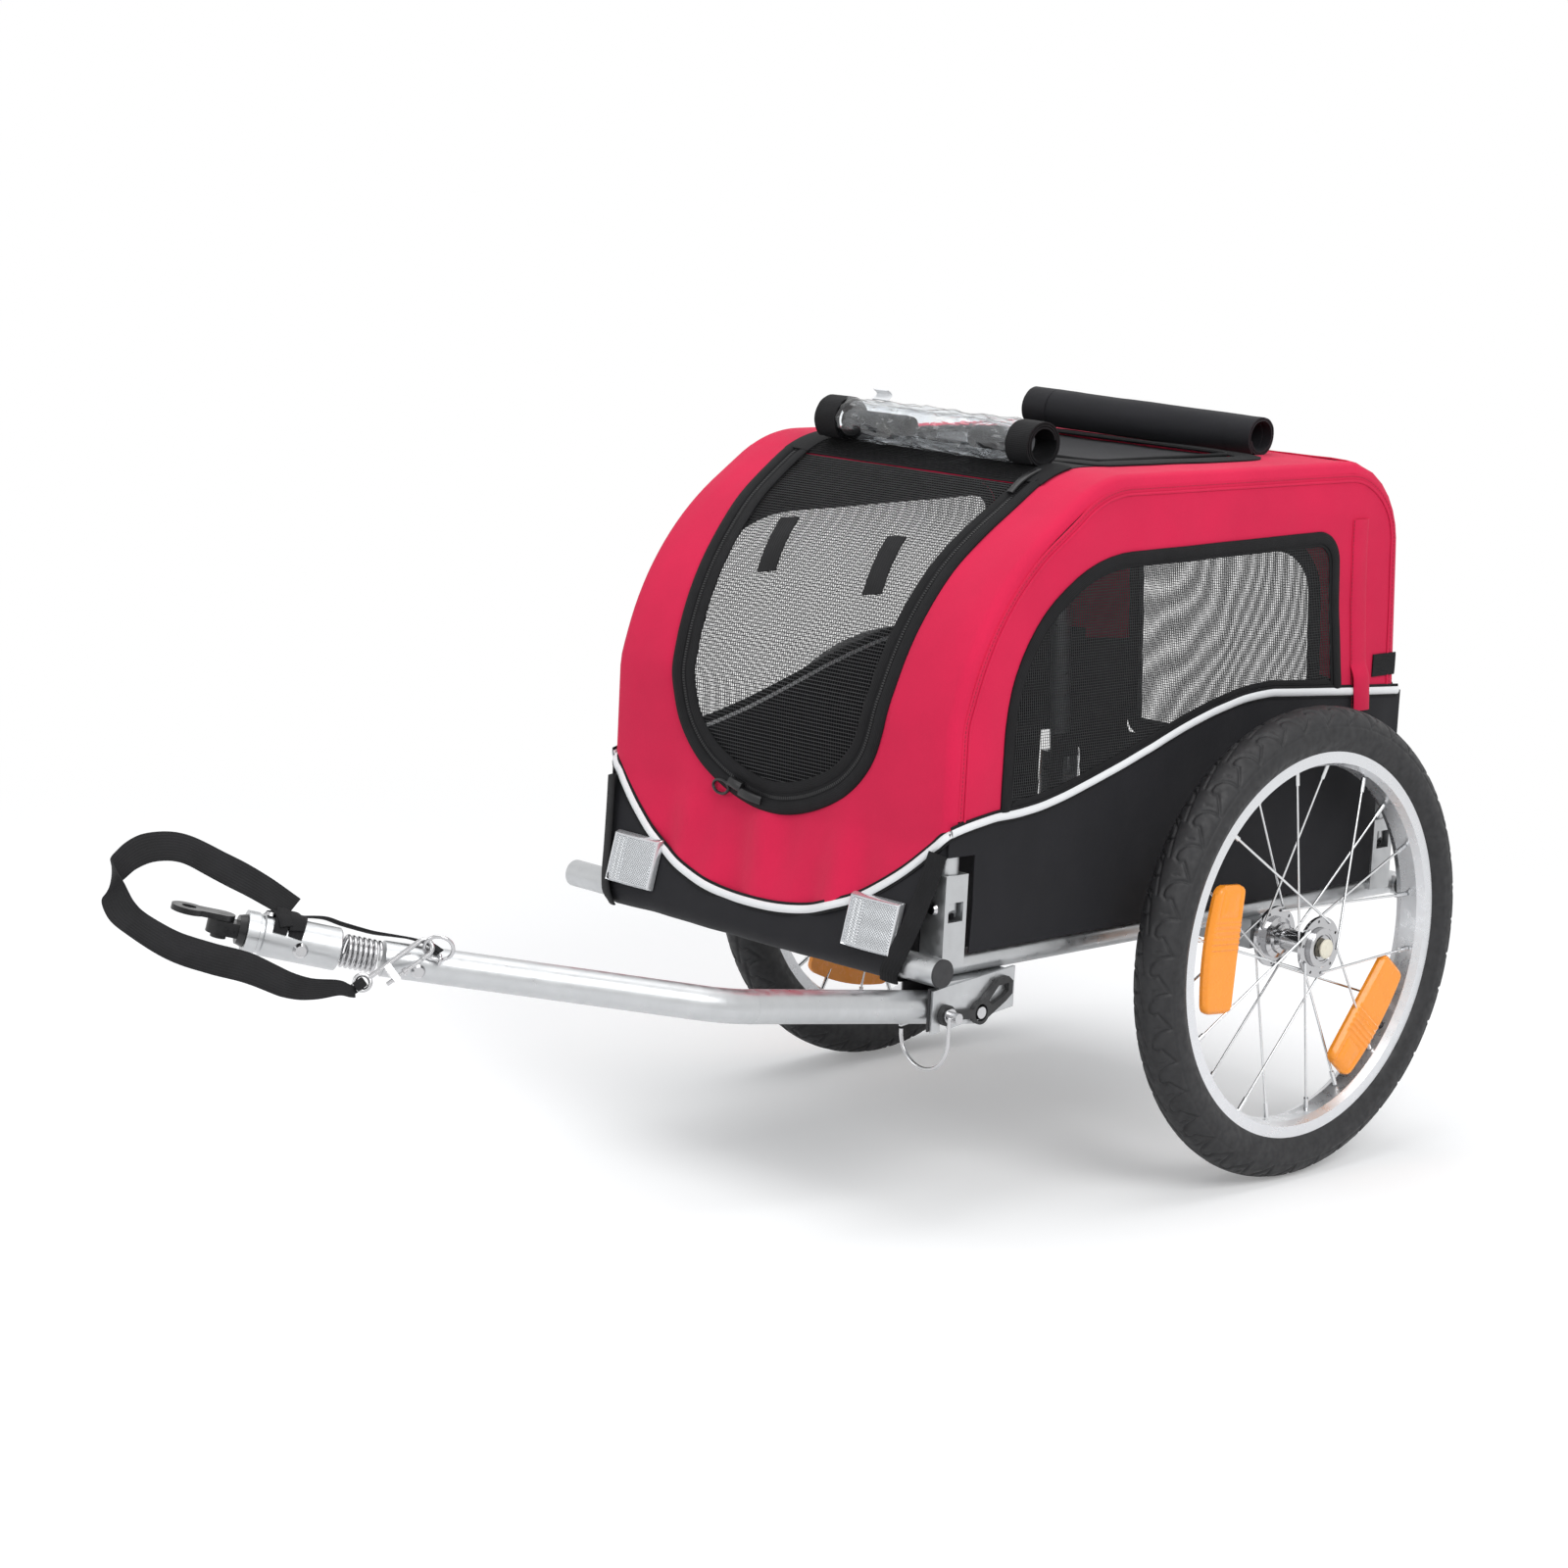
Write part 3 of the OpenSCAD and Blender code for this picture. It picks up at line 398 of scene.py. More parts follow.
def webbing(name, colour, pitch=0.0022):
    """Ribbed webbing: cords along its length with a herringbone between."""
    mat, nt, b = new_material(name)
    c = cloth_coords(nt)
    split = nt.nodes.new("ShaderNodeSeparateXYZ")
    nt.links.new(c, split.inputs[0])
    across = math_node(nt, "SINE", math_node(nt, "MULTIPLY", split.outputs[1], 2 * math.pi / pitch))
    lean = math_node(nt, "ADD", split.outputs[0], math_node(nt, "MULTIPLY", across, pitch * 0.18))
    along = math_node(nt, "SINE", math_node(nt, "MULTIPLY", lean, 2 * math.pi / (pitch * 0.5)))
    h = math_node(nt, "ADD", across, math_node(nt, "MULTIPLY", along, 0.6))
    broad = noise_node(nt, object_coords(nt), 60, 3)
    low, mid, high = shades(colour, 0.25)
    nt.links.new(ramp(nt, broad, [(0.3, low), (0.5, mid), (0.7, high)]), b.inputs["Base Color"])
    b.inputs["Roughness"].default_value = 0.72
    b.inputs["Specular IOR Level"].default_value = 0.22
    bump(nt, b, h, 0.5, 0.00025)
    return mat


def metal(name, colour, rough, grain=0.0, metallic=1.0, spread=0.04, brushed=None, coat=0.0):
    mat, nt, b = new_material(name)
    obj = object_coords(nt)
    src = obj
    if brushed:
        m = node(nt, "ShaderNodeMapping")
        m.inputs["Scale"].default_value = brushed
        nt.links.new(obj, m.inputs["Vector"])
        src = m.outputs[0]
    fac = noise_node(nt, src, 45, 4, 0.6)
    low, mid, high = shades(colour, spread)
    nt.links.new(ramp(nt, fac, [(0.3, low), (0.5, mid), (0.7, high)]), b.inputs["Base Color"])
    b.inputs["Metallic"].default_value = metallic
    wear = noise_node(nt, src, 120, 3, 0.6)
    lo, hi = max(0.02, rough * 0.75), min(1.0, rough * 1.3)
    r = node(nt, "ShaderNodeMapRange")
    nt.links.new(wear, r.inputs["Value"])
    r.inputs["From Min"].default_value, r.inputs["From Max"].default_value = 0.3, 0.7
    r.inputs["To Min"].default_value, r.inputs["To Max"].default_value = lo, hi
    nt.links.new(r.outputs[0], b.inputs["Roughness"])
    b.inputs["Coat Weight"].default_value = coat
    if grain:
        bump(nt, b, noise_node(nt, src, 600, 2), 0.3, grain)
    return mat


def plastic(name, colour, rough=0.45, grain=0.00005, spread=0.06, alpha=None, scale=900, glow=0.0):
    mat, nt, b = new_material(name)
    obj = object_coords(nt)
    low, mid, high = shades(colour, spread)
    nt.links.new(ramp(nt, noise_node(nt, obj, 70, 3), [(0.3, low), (0.5, mid), (0.7, high)]), b.inputs["Base Color"])
    r = node(nt, "ShaderNodeMapRange")
    nt.links.new(noise_node(nt, obj, 160, 2), r.inputs["Value"])
    r.inputs["From Min"].default_value, r.inputs["From Max"].default_value = 0.3, 0.7
    r.inputs["To Min"].default_value, r.inputs["To Max"].default_value = rough * 0.85, min(1, rough * 1.2)
    nt.links.new(r.outputs[0], b.inputs["Roughness"])
    bump(nt, b, noise_node(nt, obj, scale, 2), 0.3, grain)
    return mat


RED = (0.64, 0.011, 0.066)
BLACK = (0.0075, 0.0075, 0.01)
red_cloth = woven("red_cloth", RED, spread=0.07, sheen=0.06)
black_cloth = woven("black_cloth", BLACK, spread=0.22, rough=0.72, sheen=0.05)
binding_cloth = webbing("binding_cloth", (0.0065, 0.0065, 0.0075), 0.0016)
strap_cloth = webbing("strap_cloth", (0.009, 0.009, 0.01), 0.0024)
mesh_thread = plastic("mesh_thread", (0.045, 0.046, 0.048), 0.6, 0.00002)
lining = woven("lining", (0.011, 0.008, 0.009), spread=0.1, rough=0.75, sheen=0.0)
piping_white = woven("piping_white", (0.82, 0.83, 0.84), 0.0005, 0.45, 0.0, 0.04)
stitch_red = plastic("stitch_red", (0.36, 0.012, 0.04), 0.7)
stitch_black = plastic("stitch_black", (0.02, 0.02, 0.022), 0.7)
zip_teeth = plastic("zip_teeth", (0.018, 0.018, 0.019), 0.35)
frame_metal = metal("frame_metal", (0.5, 0.51, 0.52), 0.36, 0.00001, 0.9, brushed=(1, 1, 1), coat=0.1)
chrome = metal("bright_steel", (0.5, 0.5, 0.51), 0.14, 0.0, 1.0, 0.03)
spoke_steel = metal("spoke_steel", (0.72, 0.73, 0.74), 0.22, 0.0, 1.0, 0.04)
rim_metal = metal("rim_metal", (0.72, 0.73, 0.75), 0.3, 0.0, 0.75, 0.012)
beam_metal = metal("beam_metal", (0.3, 0.31, 0.32), 0.42, 0.00002, 0.8)
black_metal = metal("black_metal", (0.02, 0.02, 0.021), 0.3, 0.00003, 0.4, 0.15)
black_plastic = plastic("black_plastic", (0.02, 0.02, 0.022), 0.5)
button_plastic = plastic("button_plastic", (0.74, 0.7, 0.58), 0.3)
tyre_rubber = plastic("tyre_rubber", (0.0125, 0.0125, 0.014), 0.6, 0.00012, 0.2, scale=1400)
black_rubber = plastic("black_rubber", (0.018, 0.018, 0.019), 0.5, 0.0001, 0.2)
amber = plastic("amber", (1.0, 0.33, 0.022), 0.25, 0.00001, 0.03)
red_lens = plastic("red_lens", (0.55, 0.01, 0.012), 0.25, 0.00003)


def clear_material(name, tint, rough, alpha):
    mat, nt, b = new_material(name)
    obj = object_coords(nt)
    low, mid, high = shades(tint, 0.06)
    nt.links.new(ramp(nt, noise_node(nt, obj, 30, 3), [(0.3, low), (0.5, mid), (0.7, high)]), b.inputs["Base Color"])
    b.inputs["Roughness"].default_value = rough
    b.inputs["Transmission Weight"].default_value = alpha
    b.inputs["IOR"].default_value = 1.04
    b.inputs["Coat Weight"].default_value = 0.7
    b.inputs["Coat Roughness"].default_value = 0.02
    crinkle = bump(nt, b, noise_node(nt, obj, 55, 3, 0.55), 0.6, 0.002)
    nt.links.new(crinkle, b.inputs["Coat Normal"])
    return mat


clear_film = clear_material("clear_film", (0.95, 0.965, 0.98), 0.0, 1.0)


def prismatic(name, colour, rough, metallic):
    """A reflector's lens: small prisms in rows."""
    mat, nt, b = new_material(name)
    c = cloth_coords(nt)
    split = nt.nodes.new("ShaderNodeSeparateXYZ")
    nt.links.new(c, split.inputs[0])
    waves = [
        math_node(nt, "SINE", math_node(nt, "MULTIPLY", split.outputs[k], 2 * math.pi / p))
        for k, p in ((0, 0.0026), (1, 0.0022))
    ]
    h = math_node(nt, "MULTIPLY", waves[0], waves[1])
    # painted shade and highlight: the lens colour darkens in the prism hollows and lightens on their crests, following
    # the bump's heights
    low, mid, high = tuple(x * 0.55 for x in colour), colour, tuple(min(1, x * 1.25) for x in colour)
    fac = math_node(nt, "ADD", math_node(nt, "MULTIPLY", h, 0.35), 0.5)
    nt.links.new(ramp(nt, fac, [(0.2, low), (0.5, mid), (0.8, high)]), b.inputs["Base Color"])
    b.inputs["Roughness"].default_value = rough
    b.inputs["Metallic"].default_value = metallic
    b.inputs["Coat Weight"].default_value = 0.8
    b.inputs["Coat Roughness"].default_value = 0.05
    bump(nt, b, h, 0.8, 0.0006)
    return mat


clear_lens = prismatic("clear_lens", (0.62, 0.64, 0.66), 0.2, 0.6)
amber_lens = prismatic("amber_lens", (0.86, 0.25, 0.012), 0.35, 0.0)

SLOT_LOOKS = {
    "frame_metal": frame_metal,
    "beam_metal": beam_metal,
    "bright_steel": chrome,
    "rim_metal": rim_metal,
    "black_metal": black_metal,
    "black_plastic": black_plastic,
    "button_plastic": button_plastic,
    "tyre_rubber": tyre_rubber,
    "black_rubber": black_rubber,
    "red_fabric": red_cloth,
    "black_fabric": black_cloth,
    "mesh_fabric": mesh_thread,
    "strap_webbing": strap_cloth,
    "clear_sheet": clear_film,
    "amber_reflector": amber,
    "red_reflector": red_lens,
    "clear_reflector": clear_lens,
}
for part in frame["record"]["subparts"]:
    ob = NODES[part["node"]]
    look = SLOT_LOOKS[part["material_slot"]]
    if part["node"].endswith("_spokes"):
        look = spoke_steel
    ob.data.materials.clear()
    ob.data.materials.append(look)

# Cover's profile
COVER_X = 189.6
CORNER = 9.0
FRONT_TUBE = np.array([-384.0, 212.0])
DOOR_Y = -239.0


def arc_points(centre, r, a0, a1, n):
    a = np.radians(np.linspace(a0, a1, n))
    return [(centre[0] + r * math.cos(t), centre[1] + r * math.sin(t)) for t in a]


def cover_profile():
    """Outer line of the cover in the Y-Z plane, from under the front tube over the roof to the back."""
    r = 13.6
    d = np.array([-374.0, 305.0]) - FRONT_TUBE
    touch = math.degrees(math.atan2(d[1], d[0]) + math.acos(r / np.linalg.norm(d)))
    pts = [(-366.0, FRONT_TUBE[1] - r)] + arc_points(FRONT_TUBE, r, 270, touch, 10) + [(-374.0, 305.0)]
    p, h = np.array(pts[-1]), 90.0
    for run, turn, rad in ((83, 17, 60), (15, 39, 223), (35, 34, 110), (272.9, 85.6, 75), (304, 0, 0)):
        q = p + run * np.array([math.cos(math.radians(h)), math.sin(math.radians(h))])
        pts.append(tuple(q))
        if turn:
            c = q + rad * np.array([math.sin(math.radians(h)), -math.cos(math.radians(h))])
            for k in range(1, 25):
                a = math.radians(h - turn * k / 24)
                pts.append((c[0] - rad * math.sin(a), c[1] + rad * math.cos(a)))
            h -= turn
        p = np.array(pts[-1])
    return resample(pts, 1400)


PROFILE = cover_profile()
PROF_S = np.r_[0, np.cumsum(np.linalg.norm(np.diff(PROFILE, axis=0), axis=1))]
_t = unit(np.gradient(PROFILE, axis=0))
PROF_N = np.stack([-_t[:, 1], _t[:, 0]], 1)
_apex = int(np.argmax(PROFILE[:, 1]))


def s_front(z):
    """Arc length where the front rises to height z."""
    k = np.searchsorted(PROFILE[:_apex, 1], 205)
    rows = slice(60, _apex)
    return np.interp(z, PROFILE[rows, 1], PROF_S[rows])


def s_at_y(y):
    """Arc length where the roof reaches y."""
    rows = slice(300, len(PROFILE) - 1)
    keep = np.r_[True, np.diff(PROFILE[rows, 0]) > 0]
    return np.interp(y, PROFILE[rows, 0][keep], PROF_S[rows][keep])


def s_back(z):
    rows = slice(_apex + 200, len(PROFILE))
    return np.interp(-np.asarray(z, float), -PROFILE[rows, 1], PROF_S[rows])


def shell_point(x, s, off=0.0):
    """A point of the cover's front, roof or back. Its edges roll over into the sides."""
    x, s = np.broadcast_arrays(np.asarray(x, float), np.asarray(s, float))
    y = np.interp(s, PROF_S, PROFILE[:, 0])
    z = np.interp(s, PROF_S, PROFILE[:, 1])
    n = unit(np.stack([np.interp(s, PROF_S, PROF_N[:, k]) for k in (0, 1)], -1))
    d = np.clip(np.abs(x) - (COVER_X - CORNER), 0, CORNER)
    drop = CORNER - np.sqrt(np.maximum(CORNER**2 - d**2, 0))
    o = np.asarray(off) - drop
    return np.stack([x, y + n[..., 0] * o, z + n[..., 1] * o], -1)


def front_seam(x):
    return 230 + 84 * (np.abs(x) / 187.8) ** 2.4


def side_seam(y):
    y = np.asarray(y, float)
    t = np.clip((y + 320) / 320, 0, 1)
    corner = 9 * np.clip((-318 - y) / 56, 0, 1) ** 1.6
    return 324 - corner + 70 * t * t * (3 - 2 * t) - np.maximum(0, y) * 0.065


def soft(a, b, seed, wide=1.5, fine=0.5):
    """Slack of a sewn panel: broad hollows and a few small creases."""
    return wide * noise2(a / 85, b / 85, seed) + fine * noise2(a / 27, b / 40, seed + 9)


# Door and front
def door_line(grow=0.0, count=121):
    """The door's U outline as (x, z), from its top left corner round the foot to its top right one."""
    half = [
        (0, 312), (28, 316), (55, 326), (78, 340), (96, 361), (105, 386), (109, 410), (112, 440),
        (115, 470), (119, 505), (124, 530), (127, 550), (128, 569.5),
    ]
    line = [(-x, z) for x, z in half[:0:-1]] + half
    line = resample(spline(line, 700), 600)
    t = unit(np.gradient(line, axis=0))
    for _ in range(12):
        t[1:-1] = unit(t[:-2] + 2 * t[1:-1] + t[2:])
    return resample(line + grow * np.stack([t[:, 1], -t[:, 0]], 1), count)


SIDE_CENTRE = np.array([0, -100, 380])


def lined(outer, faces):
    """Which faces of a thickened panel are its lining."""
    return np.r_[np.zeros(len(outer), int), np.ones(len(outer), int), np.zeros(len(faces) - 2 * len(outer), int)]


def ring_panel(inner, outer, steps, power=1.0):
    """Rows of points from the inner outline to the outer one."""
    t = np.linspace(0, 1, steps) ** power
    return inner[:, None, :] * (1 - t[None, :, None]) + outer[:, None, :] * t[None, :, None]


s_top = float(s_at_y(DOOR_Y))
u_line = door_line(1.2, 121)
u_xs = np.stack([u_line[:, 0], np.minimum(s_front(u_line[:, 1]), s_top)], 1)
u_xs[0, 1] = u_xs[-1, 1] = s_top
# the outer outline: down the left edge, along the seam, up the right edge
seam_x = np.linspace(-COVER_X, COVER_X, 61)
leg = np.linspace(s_top, s_front(front_seam(COVER_X)), 31)[:-1]
outer_xs = np.vstack(
    [
        np.stack([np.full(30, -COVER_X), leg], 1),
        np.stack([seam_x, s_front(front_seam(seam_x))], 1),
        np.stack([np.full(30, COVER_X), leg[::-1]], 1),
    ]
)
dom = ring_panel(u_xs, outer_xs, 25)
# last rows hug the rounded corner
edge_t = np.r_[np.linspace(0, 0.86, 16), np.linspace(0.885, 1, 9)]
dom = u_xs[:, None, :] * (1 - edge_t[None, :, None]) + outer_xs[:, None, :] * edge_t[None, :, None]


def front_slack(x, s):
    """Slack of the red front: folds fan out below the door's foot."""
    z = np.interp(s, PROF_S, PROFILE[:, 1])
    below = smooth01((330 - z) / 60) * smooth01((z - 214) / 30)
    fan = np.sin(x / 12.5 + 1.2 * np.sin(z / 40) + 0.9) + 0.6 * np.sin(x / 7.1 + 2)
    edge = smooth01((COVER_X - np.abs(x)) / 25)
    folds = 2.3 * below * fan * edge * smooth01((150 - np.abs(x)) / 60)
    return (soft(x, s, 1.3, 2.4, 0.8) * edge) + folds + 2.0 * edge * smooth01((z - 250) / 80)


slack = front_slack(dom[..., 0], dom[..., 1]) * smooth01(edge_t / 0.2)[None, :]
V = shell_point(dom[..., 0], dom[..., 1], slack)
nu, nv = dom.shape[:2]
F = turned_out(V.reshape(-1, 3), grid_faces(nu, nv), SIDE_CENTRE)
v2, f2 = thicken(V.reshape(-1, 3), F, 1.2)
cl = np.vstack([dom.reshape(-1, 2)] * 2)
front_panel = add_mesh("front_cloth", v2, f2, None, "frame", cl, mats=[red_cloth, lining], index=lined(F, f2))
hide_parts("front_panel")

# black skirt under the red, wrapped round the front tube
rows_s = 34
xs = np.linspace(-1, 1, 73)
zz_top = front_seam(xs * COVER_X)


def skirt_half(z):
    return 160.5 + np.clip((z - 212) / 91, 0, 1) * (COVER_X - 160.5)


skirt = []
for u in xs:
    s1 = float(s_front(front_seam(u * COVER_X))) + 0.5
    s_line = np.linspace(0, s1, rows_s)
    z_line = np.interp(s_line, PROF_S, PROFILE[:, 1])
    half = skirt_half(np.where(s_line < 30, 205, z_line))
    skirt.append(np.stack([u * half, s_line], 1))
skirt = np.array(skirt)


def skirt_slack(x, s):
    edge = smooth01((COVER_X - np.abs(x)) / 30)
    return soft(x, s, 4.1, 1.6, 0.9) * edge * smooth01(s / 30) + 0.6


V = shell_point(skirt[..., 0], skirt[..., 1], skirt_slack(skirt[..., 0], skirt[..., 1]))
F = turned_out(V.reshape(-1, 3), grid_faces(*skirt.shape[:2]), SIDE_CENTRE)
v2, f2 = thicken(V.reshape(-1, 3), F, 1.2)
skirt_cloth = add_mesh("skirt_cloth", v2, f2, black_cloth, "frame", np.vstack([skirt.reshape(-1, 2)] * 2))
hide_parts("front_skirt")

# Door: ribbed mesh, binding, zip
parts = Parts()
inner = door_line(-9.0, 161)
inner_s = np.minimum(s_front(inner[:, 1]), s_top)
foot_s = float(inner_s.min())


def door_half(s):
    """Half the door's width where the front has arc length s."""
    k = len(inner) // 2
    return np.interp(s, inner_s[k:], inner[k:, 0])


def sag(x, s):
    return 2.6 * smooth01((s - foot_s) / 60) * smooth01((s_top - s) / 60) * (1 - (x / 140) ** 2) + 0.5 * noise2(
        np.asarray(x) / 60, np.asarray(s) / 60, 7.7
    )


rib_s = np.arange(foot_s + 1.5, s_top - 1, 2.9)
for s in rib_s:
    half = float(door_half(s))
    x = np.linspace(-half, half, 15)
    lo = shell_point(x, s - 0.36, sag(x, s) - 1.0)
    hi = shell_point(x, s + 0.36, sag(x, s) - 1.0)
    mid = shell_point(x, s, sag(x, s) - 0.45)
    back = shell_point(x, s, sag(x, s) - 1.5)
    ring = np.stack([lo, mid, hi, back], 1)
    n = len(x)
    f = []
    for i in range(n - 1):
        for j in range(4):
            a, b = i * 4 + j, i * 4 + (j + 1) % 4
            f.append([a, b, b + 4, a + 4])
    f += [[3, 2, 1, 0], [(n - 1) * 4 + k for k in range(4)]]
    parts.add(ring.reshape(-1, 3), f)
for x in np.arange(-128.7, 129, 2.6):
    ok = door_half(rib_s) > abs(x) + 0.3
    if ok.sum() < 4:
        continue
    s = np.linspace(rib_s[ok].min(), rib_s[ok].max(), 44)
    w = 0.13
    a = shell_point(np.full_like(s, x - w), s, sag(x, s) - 1.2)
    b = shell_point(np.full_like(s, x + w), s, sag(x, s) - 1.2)
    f = turned_out(np.stack([a, b], 1).reshape(-1, 3), grid_faces(len(s), 2), SIDE_CENTRE)
    v3, f3 = thicken(np.stack([a, b], 1).reshape(-1, 3), f, 0.3)
    parts.add(v3, f3)
door_mesh = parts.make("door_mesh", [mesh_thread], "door", "mesh_fabric", sharp=60)
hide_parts("front_door")


def u_path(grow, lift, count=181, top=None):
    line = door_line(grow, count)
    s = np.minimum(s_front(line[:, 1]), s_top if top is None else top)
    p = shell_point(line[:, 0], s, lift)
    n = shell_point(line[:, 0], s, lift + 1) - p
    return p, n


def band(grow, half, lift, thick, crown=0.6):
    p, n = u_path(grow, lift)
    return sweep(p, n, tape_section(half, thick, crown))


inner_band = Parts()
inner_band.add(*band(-8.2, 4.6, 1.2, 1.4, 1.0))
inner_band.add(*band(-2.4, 2.1, 1.0, 1.0, 0.3))
door_binding = inner_band.make("door_binding", [binding_cloth], "door", "black_fabric")
outer_band = Parts()
outer_band.add(*band(7.4, 5.4, 1.6, 1.5, 1.6))
outer_band.add(*band(2.1, 2.6, 1.0, 1.0, 0.3))
# the bands go on over the roof's edge to the rolled covers, with dark cloth between them
for sign in (-1, 1):
    s = np.linspace(s_top - 1, float(s_at_y(-206)), 9)
    p = shell_point(np.full(9, sign * 128.0), s, 1.8)
    n = shell_point(np.full(9, sign * 128.0), s, 2.8) - p
    outer_band.add(*sweep(p, n, tape_section(13.5, 1.5, 0.8)))
cover_x = np.linspace(-139, 139, 57)
cover_s = np.linspace(s_top - 0.5, float(s_at_y(-160)), 22)
CX, CS = np.meshgrid(cover_x, cover_s, indexing="ij")
V = shell_point(CX, CS, 1.1 + 0.8 * noise2(CX / 40, CS / 30, 5.5)).reshape(-1, 3)
outer_band.add(*thicken(V, turned_out(V, grid_faces(57, 22), SIDE_CENTRE), 0.9))
for s in np.arange(s_top + 2, float(s_at_y(-212)), 2.9):
    x = np.linspace(-122, 122, 25)
    p = shell_point(x, s, 2.3 + 0.8 * noise2(x / 40, np.full(25, s / 30), 5.5))
    n = shell_point(x, s, 9) - shell_point(x, s, 8)
    outer_band.add(*sweep(p, n, ring_section(0.5, 6)))
frame_binding = outer_band.make("door_frame_binding", [binding_cloth], "frame", "black_fabric")

# zip slider and its ring pull near the door's foot, and a small pull at its top right corner
def on_front(x, z, lift):
    return shell_point(np.asarray(x, float), s_front(np.asarray(z, float)), lift)


zip_pull = Parts()
k = np.linspace(0, 1, 9)
p = on_front(-44 + 13 * k, 317.5 - 3.2 * k, 3.2 + 0.6 * np.sin(np.pi * k))
zip_pull.add(*sweep(p, np.tile([0, -1, 0.1], (9, 1)), tape_section(4.2, 3.0, 1.2)))
p = on_front(-32 + 25 * k, 311.5 - 3.5 * k, 5.5 + 1.5 * np.sin(np.pi * k))
zip_pull.add(*sweep(p, np.tile([0, -1, 0.1], (9, 1)), tape_section(3.4, 1.4, 0.3)))
a = np.linspace(0, 2 * np.pi, 40, endpoint=False)
p = on_front(-55 + 9.5 * np.cos(a), 311.5 + 5.6 * np.sin(a), 4.2 + 0.8 * np.cos(a))
zip_pull.add(*sweep(p, p - on_front(-55, 311.5, 4.2), ring_section(1.3, 8), closed=True))
p = on_front(124 + 0 * k, 572 - 16 * k, 4.0 + 1.0 * np.sin(np.pi * k))
zip_pull.add(*sweep(p, np.tile([0, -0.8, 0.6], (9, 1)), tape_section(3.2, 1.6, 0.4)))
zip_pull.make("zip_pulls", [black_metal], "frame", "black_metal")

# zip teeth between the two tapes
p, n = u_path(-0.4, 1.9, 1200)
p = resample(p, int(length_of(p) / 2.1))
q, nn = u_path(-0.4, 1.9, 1200)
n = np.stack([np.interp(np.linspace(0, 1, len(p)), np.linspace(0, 1, len(nn)), nn[:, k]) for k in range(3)], 1)
t, side, up = frames_along(p, n)


def blocks(centres, ax, ay, az, sx, sy, sz):
    """Many small bevelled blocks: centre and three axes each."""
    corners = np.array([[i, j, k] for i in (-1, 1) for j in (-1, 1) for k in (-1, 1)], float)
    top = corners[:, 2] > 0
    corners[top, 0] *= 0.7
    corners[top, 1] *= 0.7
    v = (
        centres[:, None, :]
        + ax[:, None, :] * corners[None, :, 0:1] * sx
        + ay[:, None, :] * corners[None, :, 1:2] * sy
        + az[:, None, :] * corners[None, :, 2:3] * sz
    )
    base = np.array([[0, 1, 3, 2], [4, 6, 7, 5], [0, 4, 5, 1], [2, 3, 7, 6], [0, 2, 6, 4], [1, 5, 7, 3]])
    f = (base[None] + 8 * np.arange(len(centres))[:, None, None]).reshape(-1, 4)
    return v.reshape(-1, 3), f


v2, f2 = blocks(p, t, side, up, 0.75, 1.7, 0.7)
teeth = add_mesh("zip_teeth_row", v2, f2, zip_teeth, "frame", smooth=False)


def stitches(name, path, normals, body, mat, pitch=4.2, long=1.25, wide=0.28):
    """A row of small stitches on a seam."""
    total = length_of(path)
    k = max(2, int(total / pitch))
    u = (np.arange(k) + 0.5) / k
    base = np.linspace(0, 1, len(path))
    s = np.r_[0, np.cumsum(np.linalg.norm(np.diff(path, axis=0), axis=1))] / total
    c = np.stack([np.interp(u, s, path[:, j]) for j in range(3)], 1)
    nrm = unit(np.stack([np.interp(u, s, normals[:, j]) for j in range(3)], 1))
    tan = unit(np.stack([np.interp(u, s, np.gradient(path, axis=0)[:, j]) for j in range(3)], 1))
    sd = unit(np.cross(tan, nrm))
    v, f = blocks(c, tan, sd, nrm, long, wide, 0.22)
    return add_mesh(name, v, f, mat, body, smooth=False)


for nm, grow in (("inner", -11.6), ("outer", 11.6)):
    p, n = u_path(grow, 2.6 if nm == "inner" else 2.4, 400)
    stitches(f"door_stitches_{nm}", p, n, "door" if nm == "inner" else "frame", stitch_black, 3.6)

# two webbing loops hang behind the mesh, as held in the photograph
tab_specs = ((-64.1, 518.9, -52.8, 479.5), (56.0, 517.6, 66.2, 476.8))
tabs = Parts()
for x0, z0, x1, z1 in tab_specs:
    z = np.linspace(z0, z1, 12)
    x = np.linspace(x0, x1, 12)
    s = s_front(z)
    p = shell_point(x, s, sag(x, s) + 0.4 + 0.8 * np.sin(np.linspace(0, np.pi, 12)))
    nrm = shell_point(x, s, 5) - shell_point(x, s, 4)
    tabs.add(*sweep(p, nrm, tape_section(9.5, 1.3, 0.2)))
tabs.make("door_tabs", [strap_cloth], "door", "strap_webbing")

# Roof
x_lines = np.unique(
    np.r_[np.linspace(-COVER_X, -COVER_X + CORNER, 6), np.linspace(-180, 180, 61), 140, -140, np.linspace(COVER_X - CORNER, COVER_X, 6)]
)
y_lines = np.unique(np.r_[np.linspace(DOOR_Y, 92, 60), -174, 28])
s_lines = s_at_y(y_lines)
XX, SS = np.meshgrid(x_lines, s_lines, indexing="ij")


def roof_slack(x, s):
    edge = smooth01((COVER_X - np.abs(x)) / 22)
    return soft(x, s, 2.9, 1.8, 0.6) * edge


